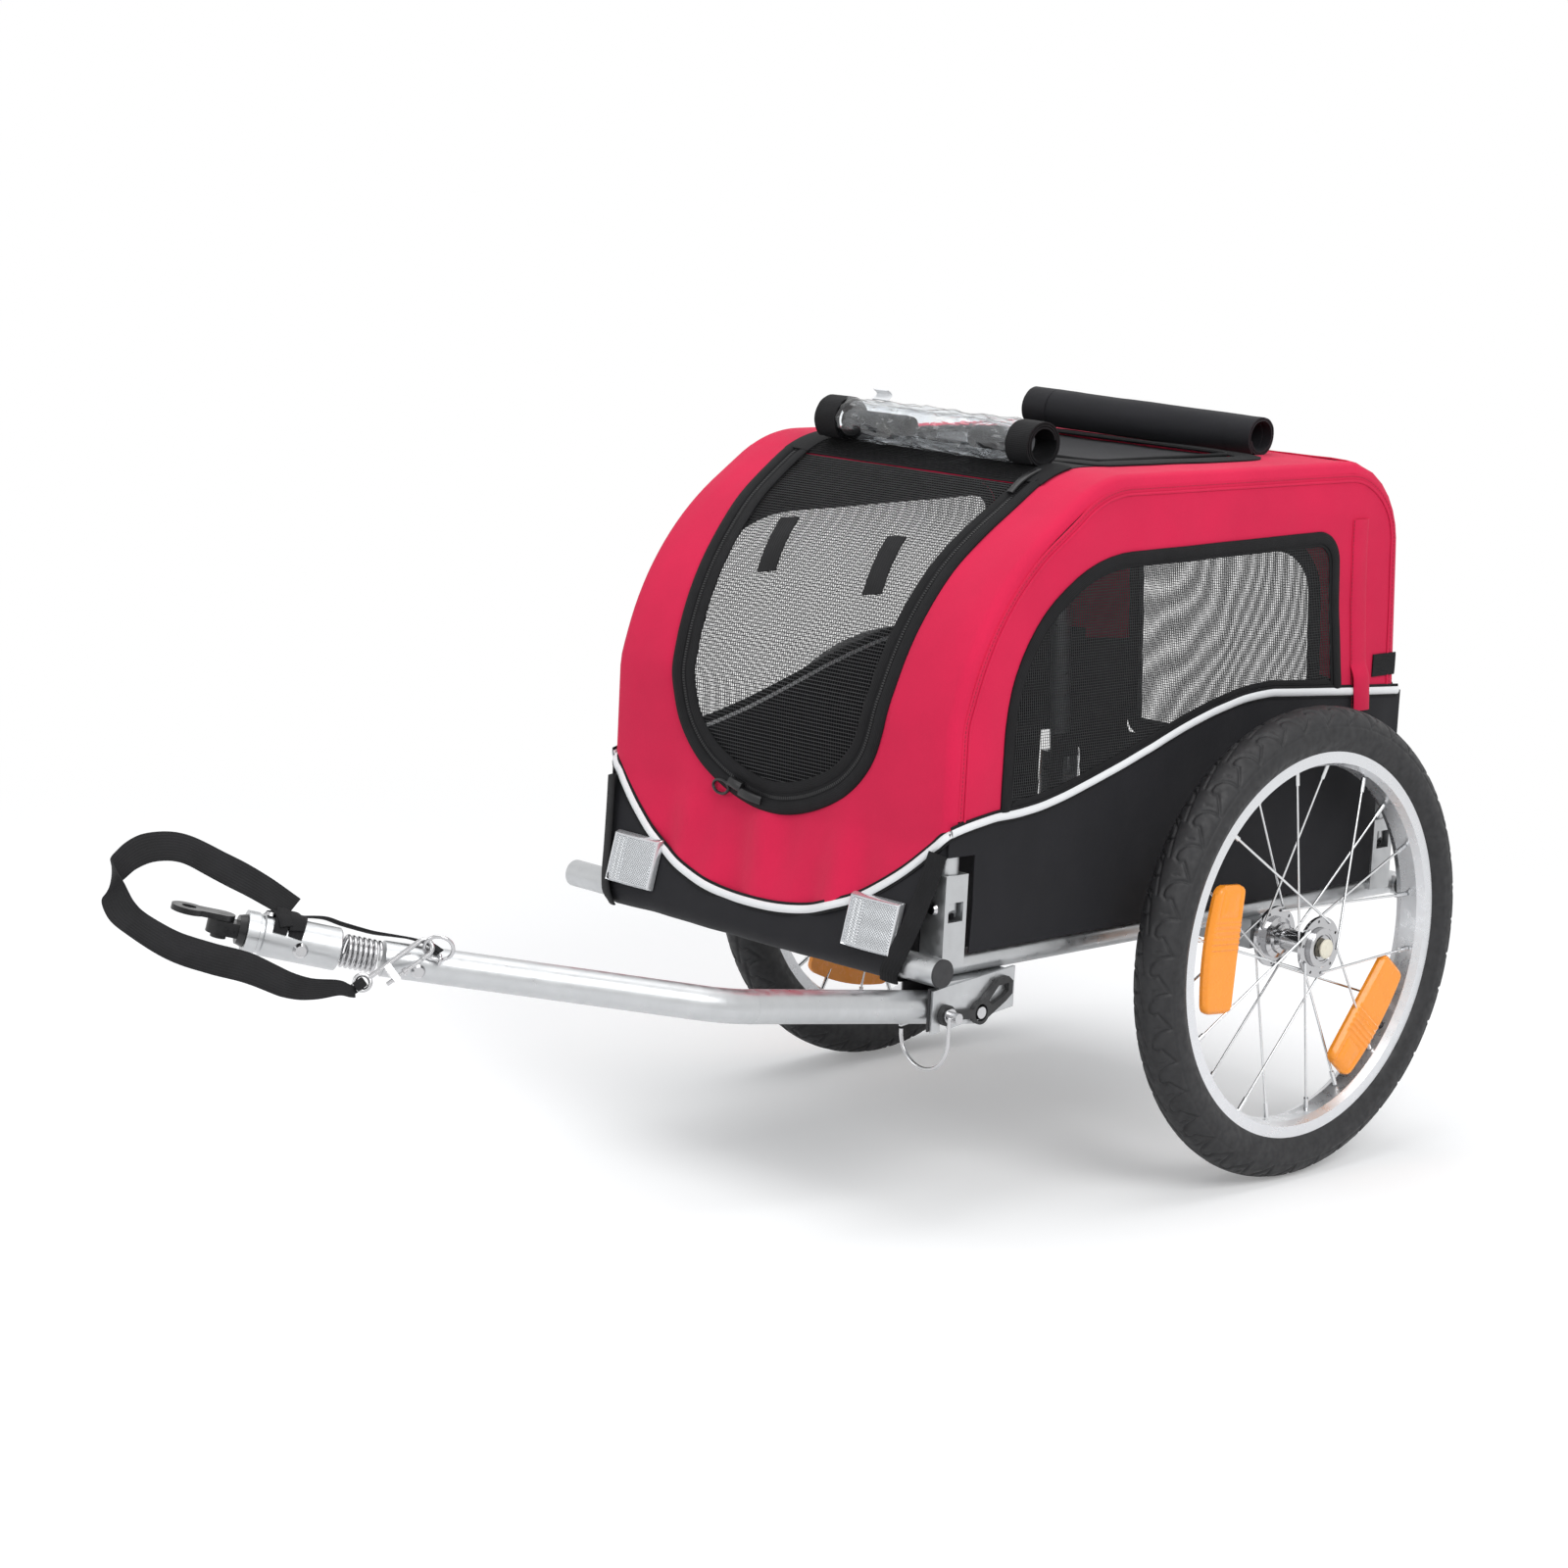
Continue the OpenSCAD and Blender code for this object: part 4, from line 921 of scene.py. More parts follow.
V = shell_point(XX, SS, roof_slack(XX, SS))
F = grid_faces(len(x_lines), len(s_lines))
cx = XX.reshape(-1)[F].mean(1)
cs = SS.reshape(-1)[F].mean(1)
hole = (np.abs(cx) < 140) & (cs > s_at_y(-174)) & (cs < s_at_y(28))
F = turned_out(V.reshape(-1, 3), F, SIDE_CENTRE)[~hole]
used = np.unique(F)
remap = np.full(V.reshape(-1, 3).shape[0], -1)
remap[used] = np.arange(len(used))
v1, F = V.reshape(-1, 3)[used], remap[F]
c1 = np.stack([XX.ravel(), SS.ravel()], 1)[used]
v2, f2 = thicken(v1, F, 1.2)
roof_cloth = add_mesh("roof_cloth", v2, f2, None, "frame", np.vstack([c1, c1]), mats=[red_cloth, lining], index=lined(F, f2))
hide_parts("roof_panel")

# hatch: black binding round the opening, and a fine mesh below it
loop = [(-137, -172), (137, -172), (137, 26), (-137, 26)]
pts = []
for k in range(4):
    a, b = np.array(loop[k], float), np.array(loop[(k + 1) % 4], float)
    m = 24
    pts += [tuple(a + (b - a) * i / m) for i in range(m)]
pts = np.array(pts)
# round its corners
for _ in range(3):
    pts = (np.roll(pts, 1, 0) + pts * 2 + np.roll(pts, -1, 0)) / 4
s = s_at_y(pts[:, 1])
p = shell_point(pts[:, 0], s, roof_slack(pts[:, 0], s) + 0.4)
n = shell_point(pts[:, 0], s, roof_slack(pts[:, 0], s) + 1.4) - p
hb = Parts()
hb.add(*sweep(p, n, tape_section(11, 1.4, 0.8), closed=True))
pts2 = pts * np.array([0.9, 0.88]) + np.array([0, -8.6])
s = s_at_y(pts2[:, 1])
p2 = shell_point(pts2[:, 0], s, 2.4)
hb.add(*sweep(p2, n, ring_section(1.6, 8), closed=True))
hb.make("hatch_binding", [binding_cloth], "frame", "black_fabric")
hx = np.linspace(-130, 130, 40)
hy = np.linspace(-166, 20, 30)
HX, HY = np.meshgrid(hx, hy, indexing="ij")
droop = 5 * (1 - (HX / 132) ** 2) * (1 - ((HY + 73) / 95) ** 2)
HV = shell_point(HX, s_at_y(HY), -1.0 - droop + 1.2 * noise2(HX / 50, HY / 50, 3))
HF = turned_out(HV.reshape(-1, 3), grid_faces(40, 30), SIDE_CENTRE)
v2, f2 = thicken(HV.reshape(-1, 3), HF, 0.7)
hatch = add_mesh(
    "hatch_mesh", v2, f2, black_cloth, "frame", np.vstack([np.stack([HX.ravel(), HY.ravel()], 1)] * 2)
)

# Back
s_r0 = float(s_at_y(92))
s_rend = float(PROF_S[-1])


def rounded_rect(x0, x1, z0, z1, r_low, r_high, count):
    pts = []
    for (cx_, cz_), r, a0 in (
        ((x1 - r_low, z0 + r_low), r_low, -90),
        ((x1 - r_high, z1 - r_high), r_high, 0),
        ((x0 + r_high, z1 - r_high), r_high, 90),
        ((x0 + r_low, z0 + r_low), r_low, 180),
    ):
        pts += arc_points((cx_, cz_), r, a0, a0 + 90, 12)
    return resample(pts, count, closed=True)


win = rounded_rect(-108, 108, 300, 500, 4, 45, 128)
back_win = np.stack([win[:, 0], s_back(win[:, 1])], 1)
back_half = np.array([COVER_X, COVER_X])
s290 = float(s_back(293))
outline = [
    (0, s_rend - 2), (164, s_rend - 2), (164, s290 + 14), (COVER_X, s290), (COVER_X, s_r0), (0, s_r0),
    (-COVER_X, s_r0), (-COVER_X, s290), (-164, s290 + 14), (-164, s_rend - 2),
]
out_line = resample(outline, 128 * 4, closed=True)
# each window point is joined to the outline point in the same direction
ctr = np.array([0, float(s_back(400))])
ang_o = np.arctan2(out_line[:, 1] - ctr[1], out_line[:, 0] - ctr[0])
order = np.argsort(ang_o)
ang_w = np.arctan2(back_win[:, 1] - ctr[1], back_win[:, 0] - ctr[0])
back_out = np.stack(
    [np.interp(ang_w, ang_o[order], out_line[order, k], period=2 * np.pi) for k in (0, 1)], 1
)
for corner in ((164, s_rend - 2), (-164, s_rend - 2), (COVER_X, s_r0), (-COVER_X, s_r0)):
    k = np.argmin(np.abs(np.angle(np.exp(1j * (ang_w - math.atan2(corner[1] - ctr[1], corner[0] - ctr[0]))))))
    back_out[k] = corner
tt = np.r_[np.linspace(0, 0.8, 10), np.linspace(0.84, 1, 9)]
bd = back_win[:, None, :] * (1 - tt[None, :, None]) + back_out[:, None, :] * tt[None, :, None]


def back_slack(x, s):
    edge = smooth01((COVER_X - np.abs(x)) / 22)
    return soft(x, s, 5.7, 2.0, 0.6) * edge + 1.5 * edge


V = shell_point(bd[..., 0], bd[..., 1], back_slack(bd[..., 0], bd[..., 1]))
nu, nv = bd.shape[:2]
F = turned_out(V.reshape(-1, 3), grid_faces(nu, nv, close=True), SIDE_CENTRE)
low_z = V.reshape(-1, 3)[F].mean(1)[:, 2] < 318
v2, f2 = thicken(V.reshape(-1, 3), F, 1.2)
mid_z = np.array([v2[f].mean(0)[2] for f in f2])
mid_x = np.array([abs(v2[f].mean(0)[0]) for f in f2])
index = (mid_z < 384).astype(int)
back_cloth = add_mesh(
    "back_cloth", v2, f2, None, "frame", np.vstack([bd.reshape(-1, 2)] * 2), mats=[red_cloth, black_cloth], index=index
)
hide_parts("rear_panel")

# Sides
WINDOW_AT = np.array([-319.5, 326.0])


def walk(steps, p, h, off):
    pts = [tuple(p)]
    p = np.array(p, float)
    for run, turn, rad in steps:
        a = math.radians(h)
        q = p + run * np.array([math.cos(a), math.sin(a)])
        pts.append(tuple(q))
        if turn:
            r = rad - off
            c = q + r * np.array([math.sin(a), -math.cos(a)])
            for k in range(1, 17):
                b = math.radians(h - turn * k / 16)
                pts.append((c[0] - r * math.sin(b), c[1] + r * math.cos(b)))
            h -= turn
        p = np.array(pts[-1])
    return pts


def window_arch(off, count=121):
    pts = walk([[52 - off, 90, 138], [231, 82, 28], [94 - off, 0, 0]], WINDOW_AT + off, 91, off)
    pts[0] = (pts[0][0], float(side_seam(pts[0][0])) + 2 + off * 0.2)
    pts[-1] = (pts[-1][0], float(side_seam(pts[-1][0])) + 2 + off * 0.2)
    return resample(pts, count)


def window_loop(off, count=240):
    arch = window_arch(off, 200)
    y = np.linspace(arch[-1, 0], arch[0, 0], 60)[1:-1]
    foot = np.stack([y, side_seam(y) + 2 + off * 0.6], 1)
    return resample(np.vstack([arch, foot]), count, closed=True)


# the side's outer line: from the seam at the front over the roof to the seam at the back
edge_off = PROFILE - PROF_N * CORNER
front_i = int(np.argmin(np.abs(PROF_S - s_front(324.0))))
back_i = int(np.argmin(np.abs(PROF_S - s_back(384.0))))
side_line = edge_off[front_i : back_i + 1]
arch = window_arch(0.0, 121)
# spread the outer points so that each lies square to the window where it can
w_len = np.r_[0, np.cumsum(np.linalg.norm(np.diff(arch, axis=0), axis=1))]
o_len = np.r_[0, np.cumsum(np.linalg.norm(np.diff(side_line, axis=0), axis=1))]
anchors_w = [0, 52, 52 + 217, 52 + 217 + 231, 52 + 217 + 231 + 40, w_len[-1]]
corner_y = [side_line[0], (-367, 405), (-180, 570), (85, 569), (150, 500), side_line[-1]]
anchors_o = [float(o_len[np.argmin(np.linalg.norm(side_line - np.array(c), axis=1))]) for c in corner_y]
o_at = np.interp(w_len, anchors_w, anchors_o)
side_outer = np.stack([np.interp(o_at, o_len, side_line[:, k]) for k in (0, 1)], 1)
tt = np.linspace(0, 1, 22)
side_dom = arch[:, None, :] * (1 - tt[None, :, None]) + side_outer[:, None, :] * tt[None, :, None]


def side_slack(y, z, seed):
    """Slack of a side: it bellies out a little and draws tight at its edges."""
    k = np.minimum.reduce(
        [np.asarray((y + 374) / 40), np.asarray((178 - y) / 40), np.asarray((580 - z) / 45), np.asarray((z - 215) / 60)]
    )
    k = smooth01(k)
    tension = 0.9 * np.sin((z + 0.35 * y) / 21.0) * smooth01((z - 500) / 40) * smooth01((570 - z) / 25)
    return k * (soft(y, z, seed, 2.6, 0.9) + 1.6 + tension)


def side_point(side, y, z, lift=0.0, seed=8.1):
    y, z = np.broadcast_arrays(np.asarray(y, float), np.asarray(z, float))
    x = side * (COVER_X + side_slack(y, z, seed + side) + lift)
    return np.stack([x, y, z], -1)


def side_piece(name, side, dom_yz, mat, body="frame"):
    V_ = side_point(side, dom_yz[..., 0], dom_yz[..., 1])
    v_, f_ = V_.reshape(-1, 3), grid_faces(*dom_yz.shape[:2])
    f_ = turned_out(v_, f_, SIDE_CENTRE)
    a, b = thicken(v_, f_, 1.2)
    flat = np.vstack([dom_yz.reshape(-1, 2)] * 2)
    return add_mesh(name, a, b, None, body, flat, mats=[mat, lining], index=lined(f_, b))


def black_side_domains():
    doms = []
    for y0, y1, base, cols in ((-373, -345, 297, 8), (-345, 152, 221, 90), (152, 176, 291, 8)):
        y = np.linspace(y0, y1, cols)
        top = side_seam(y)
        rows = 18
        w = np.linspace(0, 1, rows)
        z = base + (top[:, None] - base) * w[None, :]
        doms.append(np.stack([np.broadcast_to(y[:, None], z.shape), z], -1))
    return doms


side_names = {1: "left", -1: "right"}
NOTCH_X = 164.8
sheets = []
for side in (1, -1):
    nm = side_names[side]
    red_side = side_piece(f"{nm}_side_cloth", side, side_dom, red_cloth)
    lower = Parts()
    for d in black_side_domains():
        V = side_point(side, d[..., 0], d[..., 1]).reshape(-1, 3)
        f = turned_out(V, grid_faces(*d.shape[:2]), SIDE_CENTRE)
        a, b = thicken(V, f, 1.2)
        lower.add(a, b, np.vstack([d.reshape(-1, 2)] * 2))
    # the lining goes on behind the notches for the posts, clear of the legs that fold there
    flap = Parts()
    for y0, y1, z1 in ((-373, -340, 297), (140, 176, 291)):
        behind = -352 if y0 < 0 else 157
        strip = (behind, y1) if y0 < 0 else (y0, behind)
        beside = (y0, behind - 0.5) if y0 < 0 else (behind + 0.5, y1)
        for piece, (ya, yb), za, zb in ((lower, (y0, y1), 216, 245), (lower, strip, 245, z1), (flap, beside, 269, z1)):
            v = np.array([[side * NOTCH_X, y, z] for y in (ya, yb) for z in (za, zb)], float)
            piece.add(*thicken(v, turned_out(v, grid_faces(2, 2), SIDE_CENTRE), 0.8))
    flap.make(f"{nm}_post_flap", [black_cloth], f"{nm}_fold", "black_fabric")
    lower_cloth = lower.make(f"{nm}_side_lower_cloth", [black_cloth], "frame", "black_fabric")
    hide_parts(f"{nm}_side_panel")
    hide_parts(f"{nm}_side_panel")
    sheets.append((red_side, lower_cloth))

    # window binding
    loop = window_arch(4.4, 260)
    p = side_point(side, loop[:, 0], loop[:, 1], 0.3)
    n = np.tile([side, 0, 0], (len(p), 1))
    b = Parts()
    b.add(*sweep(p, n, tape_section(5.0, 1.3, 0.9)))
    loop = window_loop(9.5, 260)
    p = side_point(side, loop[:, 0], loop[:, 1], -0.2)
    b.add(*sweep(p, n, tape_section(2.4, 0.8, 0.2), closed=True))
    b.make(f"{nm}_window_binding", [binding_cloth], "frame", "black_fabric")
    loop = window_arch(1.4, 400)
    p = side_point(side, loop[:, 0], loop[:, 1], 1.45)
    stitches(f"{nm}_window_stitches", p, np.tile([side, 0, 0], (400, 1)), "frame", stitch_black, 3.8)

    # square-holed mesh in the window
    hole_line = window_loop(8.0, 300)
    mesh = Parts()
    ys = hole_line[:, 0]
    zs = hole_line[:, 1]

    def crossings(axis, at):
        a, b = hole_line[:, axis], hole_line[:, 1 - axis]
        a2, b2 = np.roll(a, -1), np.roll(b, -1)
        hit = (a - at) * (a2 - at) < 0
        return np.sort(b[hit] + (at - a[hit]) / (a2[hit] - a[hit]) * (b2[hit] - b[hit]))

    for at in np.arange(ys.min() + 1, ys.max(), 2.15):
        c = crossings(0, at)
        if len(c) < 2:
            continue
        z = np.linspace(c[0], c[-1], 9)
        d = 2.2 * np.sin(np.pi * (z - c[0]) / (c[-1] - c[0]))
        w = 0.15
        v = np.stack([side_point(side, at - w, z, -0.6 + d * 0.5), side_point(side, at + w, z, -0.6 + d * 0.5)], 1)
        f = turned_out(v.reshape(-1, 3), grid_faces(9, 2), SIDE_CENTRE)
        mesh.add(*thicken(v.reshape(-1, 3), f, 0.45))
    for at in np.arange(zs.min() + 1, zs.max(), 2.15):
        c = crossings(1, at)
        if len(c) < 2:
            continue
        y = np.linspace(c[0], c[-1], 15)
        w = 0.15
        v = np.stack([side_point(side, y, at - w, -0.75), side_point(side, y, at + w, -0.75)], 1)
        f = turned_out(v.reshape(-1, 3), grid_faces(15, 2), SIDE_CENTRE)
        mesh.add(*thicken(v.reshape(-1, 3), f, 0.45))
    wm = mesh.make(f"{nm}_window_mesh", [mesh_thread], "frame", "mesh_fabric", sharp=60)
    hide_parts("window_meshes")

    # seam along the roof edge: a fine ridge and its stitches
    seam_off = PROFILE - PROF_N * 15.0
    line = resample(seam_off[front_i - 10 : back_i + 1], 300)
    p = side_point(side, line[:, 0], line[:, 1], 0.25)
    n = np.tile([side, 0, 0], (300, 1))
    v2, f2, c2 = sweep(p, n, tape_section(1.1, 0.7, 0.3, 4))
    add_mesh(f"{nm}_edge_seam", v2, f2, red_cloth, "frame", c2)
    line = resample(edge_off[front_i - 10 : back_i + 1] - PROF_N[front_i - 10 : back_i + 1] * 2.2, 300)
    p = side_point(side, line[:, 0], line[:, 1], 0.15)
    stitches(f"{nm}_edge_stitches", p, n, "frame", stitch_red, 3.4)

# Reflective piping
def piping(name, path, normals):
    b = Parts()
    b.add(*sweep(path, normals, tape_section(5.4, 0.9, 0.2)), index=0)
    b.add(*sweep(path + unit(normals) * 0.7, normals, ring_section(3.3, 10, 0.6)), index=1)
    return b.make(name, [binding_cloth, piping_white], "frame", "black_fabric")


x = np.linspace(-COVER_X + 1.0, COVER_X - 1.0, 161)
s = s_front(front_seam(x))
off = (front_slack(x, s) + skirt_slack(x, s)) / 2
p = shell_point(x, s, off + 0.3)
n = shell_point(x, s, off + 1.3) - p
piping("front_piping", p, n)
for side in (1, -1):
    y = np.linspace(-372, 170, 200)
    p = side_point(side, y, side_seam(y), 0.35)
    piping(f"{side_names[side]}_piping", p, np.tile([side, 0, 0], (200, 1)))
x = np.linspace(-COVER_X + 1.0, COVER_X - 1.0, 121)
s = s_back(384 - 0 * x)
p = shell_point(x, s, back_slack(x, s) + 0.4)
n = shell_point(x, s, back_slack(x, s) + 1.4) - p
keep = np.abs(x) > 112
for k, sel in enumerate((x < -112, x > 112)):
    piping(f"back_piping_{k}", p[sel], n[sel])

# back window: binding and mesh
for grow, half in ((7.0, 8.0),):
    w2 = rounded_rect(-108 + grow, 108 - grow, 300 + grow, 500 - grow, 6, 40, 200)
    p = shell_point(w2[:, 0], s_back(w2[:, 1]), back_slack(w2[:, 0], s_back(w2[:, 1])) + 0.4)
    n = shell_point(w2[:, 0], s_back(w2[:, 1]), 9) - shell_point(w2[:, 0], s_back(w2[:, 1]), 8)
    b = Parts()
    b.add(*sweep(p, n, tape_section(half, 1.3, 0.8), closed=True))
    b.make("back_window_binding", [binding_cloth], "frame", "black_fabric")
mesh = Parts()
w3 = rounded_rect(-96, 96, 312, 488, 6, 36, 240)
for at in np.arange(-95, 95.1, 2.15):
    inside = w3[np.abs(w3[:, 0] - at) < 1.6]
    z = np.linspace(inside[:, 1].min(), inside[:, 1].max(), 9)
    ss = s_back(z)
    v = np.stack([shell_point(at - 0.2, ss, back_slack(at, ss) - 0.8), shell_point(at + 0.2, ss, back_slack(at, ss) - 0.8)], 1)
    mesh.add(*thicken(v.reshape(-1, 3), turned_out(v.reshape(-1, 3), grid_faces(9, 2), SIDE_CENTRE), 0.45))
for at in np.arange(313, 488, 2.15):
    inside = w3[np.abs(w3[:, 1] - at) < 1.8]
    xx = np.linspace(inside[:, 0].min(), inside[:, 0].max(), 11)
    ss = float(s_back(at))
    v = np.stack([shell_point(xx, ss - 0.2, back_slack(xx, ss) - 0.95), shell_point(xx, ss + 0.2, back_slack(xx, ss) - 0.95)], 1)
    mesh.add(*thicken(v.reshape(-1, 3), turned_out(v.reshape(-1, 3), grid_faces(11, 2), SIDE_CENTRE), 0.45))
mesh.make("back_window_mesh", [mesh_thread], "frame", "mesh_fabric", sharp=60)


# Rolled covers
def spiral_band(name_parts, p0, p1, u0, u1, r_out, turns, wall, flat, seed, index, crumple=0.0, layers_gap=1.2, core=None, rows=8, lump=0.0):
    """Cloth wound on itself, between shares u0 and u1 of the roll's centre line."""
    axis = unit(np.subtract(p1, p0))
    side_v = unit(np.cross([0, 0, 1], axis))
    up_v = np.cross(axis, side_v)
    n = int(turns * 44)
    a = np.linspace(0, turns * 2 * np.pi, n)
    start = -0.9
    for_r = r_out - (wall + layers_gap) * (a / (2 * np.pi))
    u = np.linspace(u0, u1, rows)
    rings = []
    for uu in u:
        c = np.array(p0) + (np.array(p1) - np.array(p0)) * uu
        along = float(np.linalg.norm(np.array(p1) - np.array(p0)) * uu)
        bumpy = crumple * (noise2(a * 2.4 + seed, np.full_like(a, along / 17.0), seed) * 2.0 + 0.8 * noise2(a * 7 + seed, np.full_like(a, along / 8.0), seed + 4))
        bumpy = bumpy + lump * noise2(a * 1.0, np.full_like(a, along / 60.0), seed + 2)
        rr = for_r + bumpy
        w = rr * np.cos(a + start)
        h = rr * np.sin(a + start) * flat
        rings.append(c + side_v * w[:, None] + up_v * h[:, None])
    rings = np.array(rings)
    v_ = rings.reshape(-1, 3)
    f_ = grid_faces(rows, n)
    centre = (np.array(p0) + np.array(p1)) / 2
    nrm = np.cross(v_[f_[:, 2]] - v_[f_[:, 0]], v_[f_[:, 3]] - v_[f_[:, 1]])
    mid_ = v_[f_].mean(1) - centre
    mid_ = mid_ - (mid_ @ axis)[:, None] * axis
    if (nrm * mid_).sum() < 0:
        f_ = f_[:, ::-1]
    vv, ff = thicken(v_, f_, wall)
    arc = np.r_[0, np.cumsum(np.linalg.norm(np.diff(rings[0], axis=0), axis=1))]
    c_ = np.stack([np.broadcast_to((u * np.linalg.norm(np.subtract(p1, p0)))[:, None], (rows, n)), np.broadcast_to(arc[None], (rows, n))], -1).reshape(-1, 2)
    name_parts.add(vv, ff, np.vstack([c_, c_]), index)


def cover_roll(name, p0, p1, r, body, spec, mats, slot, node_name):
    b = Parts()
    for args in spec:
        spiral_band(b, p0, p1, *args[0], **args[1])
    ob_ = b.make(name, mats, body, slot, sharp=60)
    if node_name:
        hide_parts(node_name)
    return ob_


near, far = (112, -208.3, 593.8), (-112, -216.5, 594.8)
clear_roll = cover_roll(
    "clear_roll_film", near, far, 22, "frame",
    [((0.085, 0.915, 20.0, 1.5, 0.3, 0.95, 3.0, 0), dict(crumple=1.5, layers_gap=3.4, rows=80, lump=1.5))],
    [clear_film], "clear_sheet", "clear_cover_roll",
)
cover_roll(
    "clear_roll_ends_and_shade_cores", near, far, 22, "frame",
    [
        ((-0.005, 0.095, 21.0, 2.6, 1.5, 0.9, 1.0, 0), dict(crumple=0.25, layers_gap=0.75, rows=10)),
        ((0.905, 1.005, 21.0, 2.6, 1.5, 0.9, 2.0, 0), dict(crumple=0.25, layers_gap=0.75, rows=10)),
        # the two inner spirals are black strips inside the clear film: partly binding rolled up inside, partly painted
        # shade and painted reflection for the dark patches inside the film
        ((0.09, 0.30, 12.5, 1.4, 1.0, 0.8, 4.0, 0), dict(crumple=0.6, layers_gap=1.4, rows=16)),
        ((0.62, 0.91, 11.5, 1.4, 1.0, 0.8, 5.0, 0), dict(crumple=0.6, layers_gap=1.4, rows=16)),
    ],
    [binding_cloth], "black_fabric", None,
)
tab = Parts()
tz = np.linspace(0, 1, 8)
tab_p = np.stack([np.full(8, -62.0) + 0 * tz, -214 + 6 * np.sin(tz * 3), 612.5 + 9 * tz], 1)
tab.add(*sweep(tab_p, [0, -1, 0.2], tape_section(8.5, 0.9, 0.1)))
tab.make("clear_roll_tab", [piping_white], "frame", "clear_sheet")

near, far = (116, 56.0, 592.5), (-116, 36.0, 597.0)
cover_roll(
    "black_roll", near, far, 19, "frame",
    [
        ((0.03, 0.97, 18.6, 3.1, 1.0, 0.93, 6.0, 0), dict(crumple=0.12, layers_gap=0.8, rows=60, lump=0.9)),
        ((-0.005, 0.10, 19.4, 2.1, 1.4, 0.9, 6.0, 0), dict(crumple=0.2, layers_gap=0.8, rows=8, lump=0.9)),
        ((0.90, 1.005, 19.4, 2.1, 1.4, 0.9, 6.0, 0), dict(crumple=0.2, layers_gap=0.8, rows=8, lump=0.9)),
    ],
    [black_cloth], "black_fabric", "black_cover_roll",
)

# Flag sleeve, blank tag, corner webbing
rows_y, rows_z = 13, 40
b = Parts()
u = np.linspace(-1, 1, rows_y)
w = np.linspace(0, 1, rows_z)
U, W = np.meshgrid(u, w, indexing="ij")
zc = 531 - W * 160
yc = 99 + W * 16 + U * 10.5
lift = 1.6 * np.sqrt(np.maximum(0, 1 - U**2)) * (0.8 + 0.2 * W) + 0.5 + 3.6 * smooth01((412 - zc) / 14)
P = side_point(1, yc, zc, lift)
f = turned_out(P.reshape(-1, 3), grid_faces(rows_y, rows_z), SIDE_CENTRE)
a, c = thicken(P.reshape(-1, 3), f, 1.2)
b.add(a, c, np.vstack([np.stack([yc.ravel(), zc.ravel()], 1)] * 2))
sleeve = b.make("flag_sleeve_cloth", [red_cloth], "frame", "red_fabric")
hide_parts("flag_sleeve")
line = np.stack([99 - 9.6 + 16 * w, 531 - 160 * w], 1)
p = side_point(1, line[:, 0], line[:, 1], 1.2)
stitches("flag_sleeve_stitches", p, np.tile([1, 0, 0], (rows_z, 1)), "frame", stitch_red, 3.2)

b = Parts()
yy = np.linspace(131, 163, 12)
for_tag = side_point(1, yy, np.full(12, 406.5), 0.6)
b.add(*sweep(for_tag, [1, 0, 0], tape_section(9.5, 0.9, 0.1)))
b.make("blank_tag", [binding_cloth], "frame", "black_fabric")

for side in (1, -1):
    strap = Parts()
    if side == 1:
        route = [(183.5, -378.5, 300), (181, -381.5, 285), (176, -386.5, 262), (171, -392.5, 240), (166, -398.0, 222), (161, -400.3, 209), (157, -396, 199.5)]
    else:
        route = [(-183.5, -378.5, 300), (-178, -384.0, 275), (-171, -391.5, 245), (-165, -398.0, 222), (-160, -400.3, 209), (-157, -396, 199.5)]
    p = spline(route, 30)
    strap.add(*sweep(p, [side * 0.45, -1, 0.15], tape_section(7.5, 1.5, 0.5)))
    strap.make(f"{side_names[side]}_corner_webbing", [strap_cloth], "frame", "strap_webbing")

# Floor
b = Parts()
fx = np.linspace(-165, 165, 30)
fy = np.linspace(-365, 179, 44)
FX, FY = np.meshgrid(fx, fy, indexing="ij")
puff = 1.2 * np.abs(np.sin(FX / 55 * np.pi / 2)) * np.abs(np.sin(FY / 60 * np.pi / 2))
FZ = 210.6 + puff
V = np.stack([FX, FY, FZ], -1).reshape(-1, 3)
f = turned_out(V, grid_faces(30, 44), (0, -100, 0))
a, c = thicken(V, f, 3.2)
b.add(a, c, np.vstack([np.stack([FX.ravel(), FY.ravel()], 1)] * 2))
floor_mat = b.make("floor_mat", [black_cloth], "frame", "black_fabric")
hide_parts("floor_board")


# Wheels
TREAD_REPEAT = 39
# One repeat of the tread's hooked edge: share of the repeat, degrees from the crown
HOOK = [(0, 65), (0.0, 53), (0.04, 38), (0.14, 24), (0.31, 14.5), (0.5, 14), (0.57, 24), (0.52, 35), (0.63, 42), (0.81, 54), (1.0, 65)]
DASH = [(0.93, 23), (0.89, 36)]
CROWN = [(-0.5, -19), (0.5, -1)]


def line_distance(cell, deg, line):
    """Distance in mm across the tyre's skin to a line repeated round it."""
    pitch = 2 * np.pi * 190 / TREAD_REPEAT
    best = np.full(cell.shape, 99.0)
    for shift in (-1, 0, 1):
        for (c0, d0), (c1, d1) in zip(line[:-1], line[1:]):
            a = np.array([(c0 + shift) * pitch, math.radians(d0) * 20.6])
            b = np.array([(c1 + shift) * pitch, math.radians(d1) * 20.6])
            px, py = cell * pitch - a[0], np.radians(deg) * 20.6 - a[1]
            d = b - a
            t = np.clip((px * d[0] + py * d[1]) / (d @ d), 0, 1)
            best = np.minimum(best, np.hypot(px - t * d[0], py - t * d[1]))
    return best


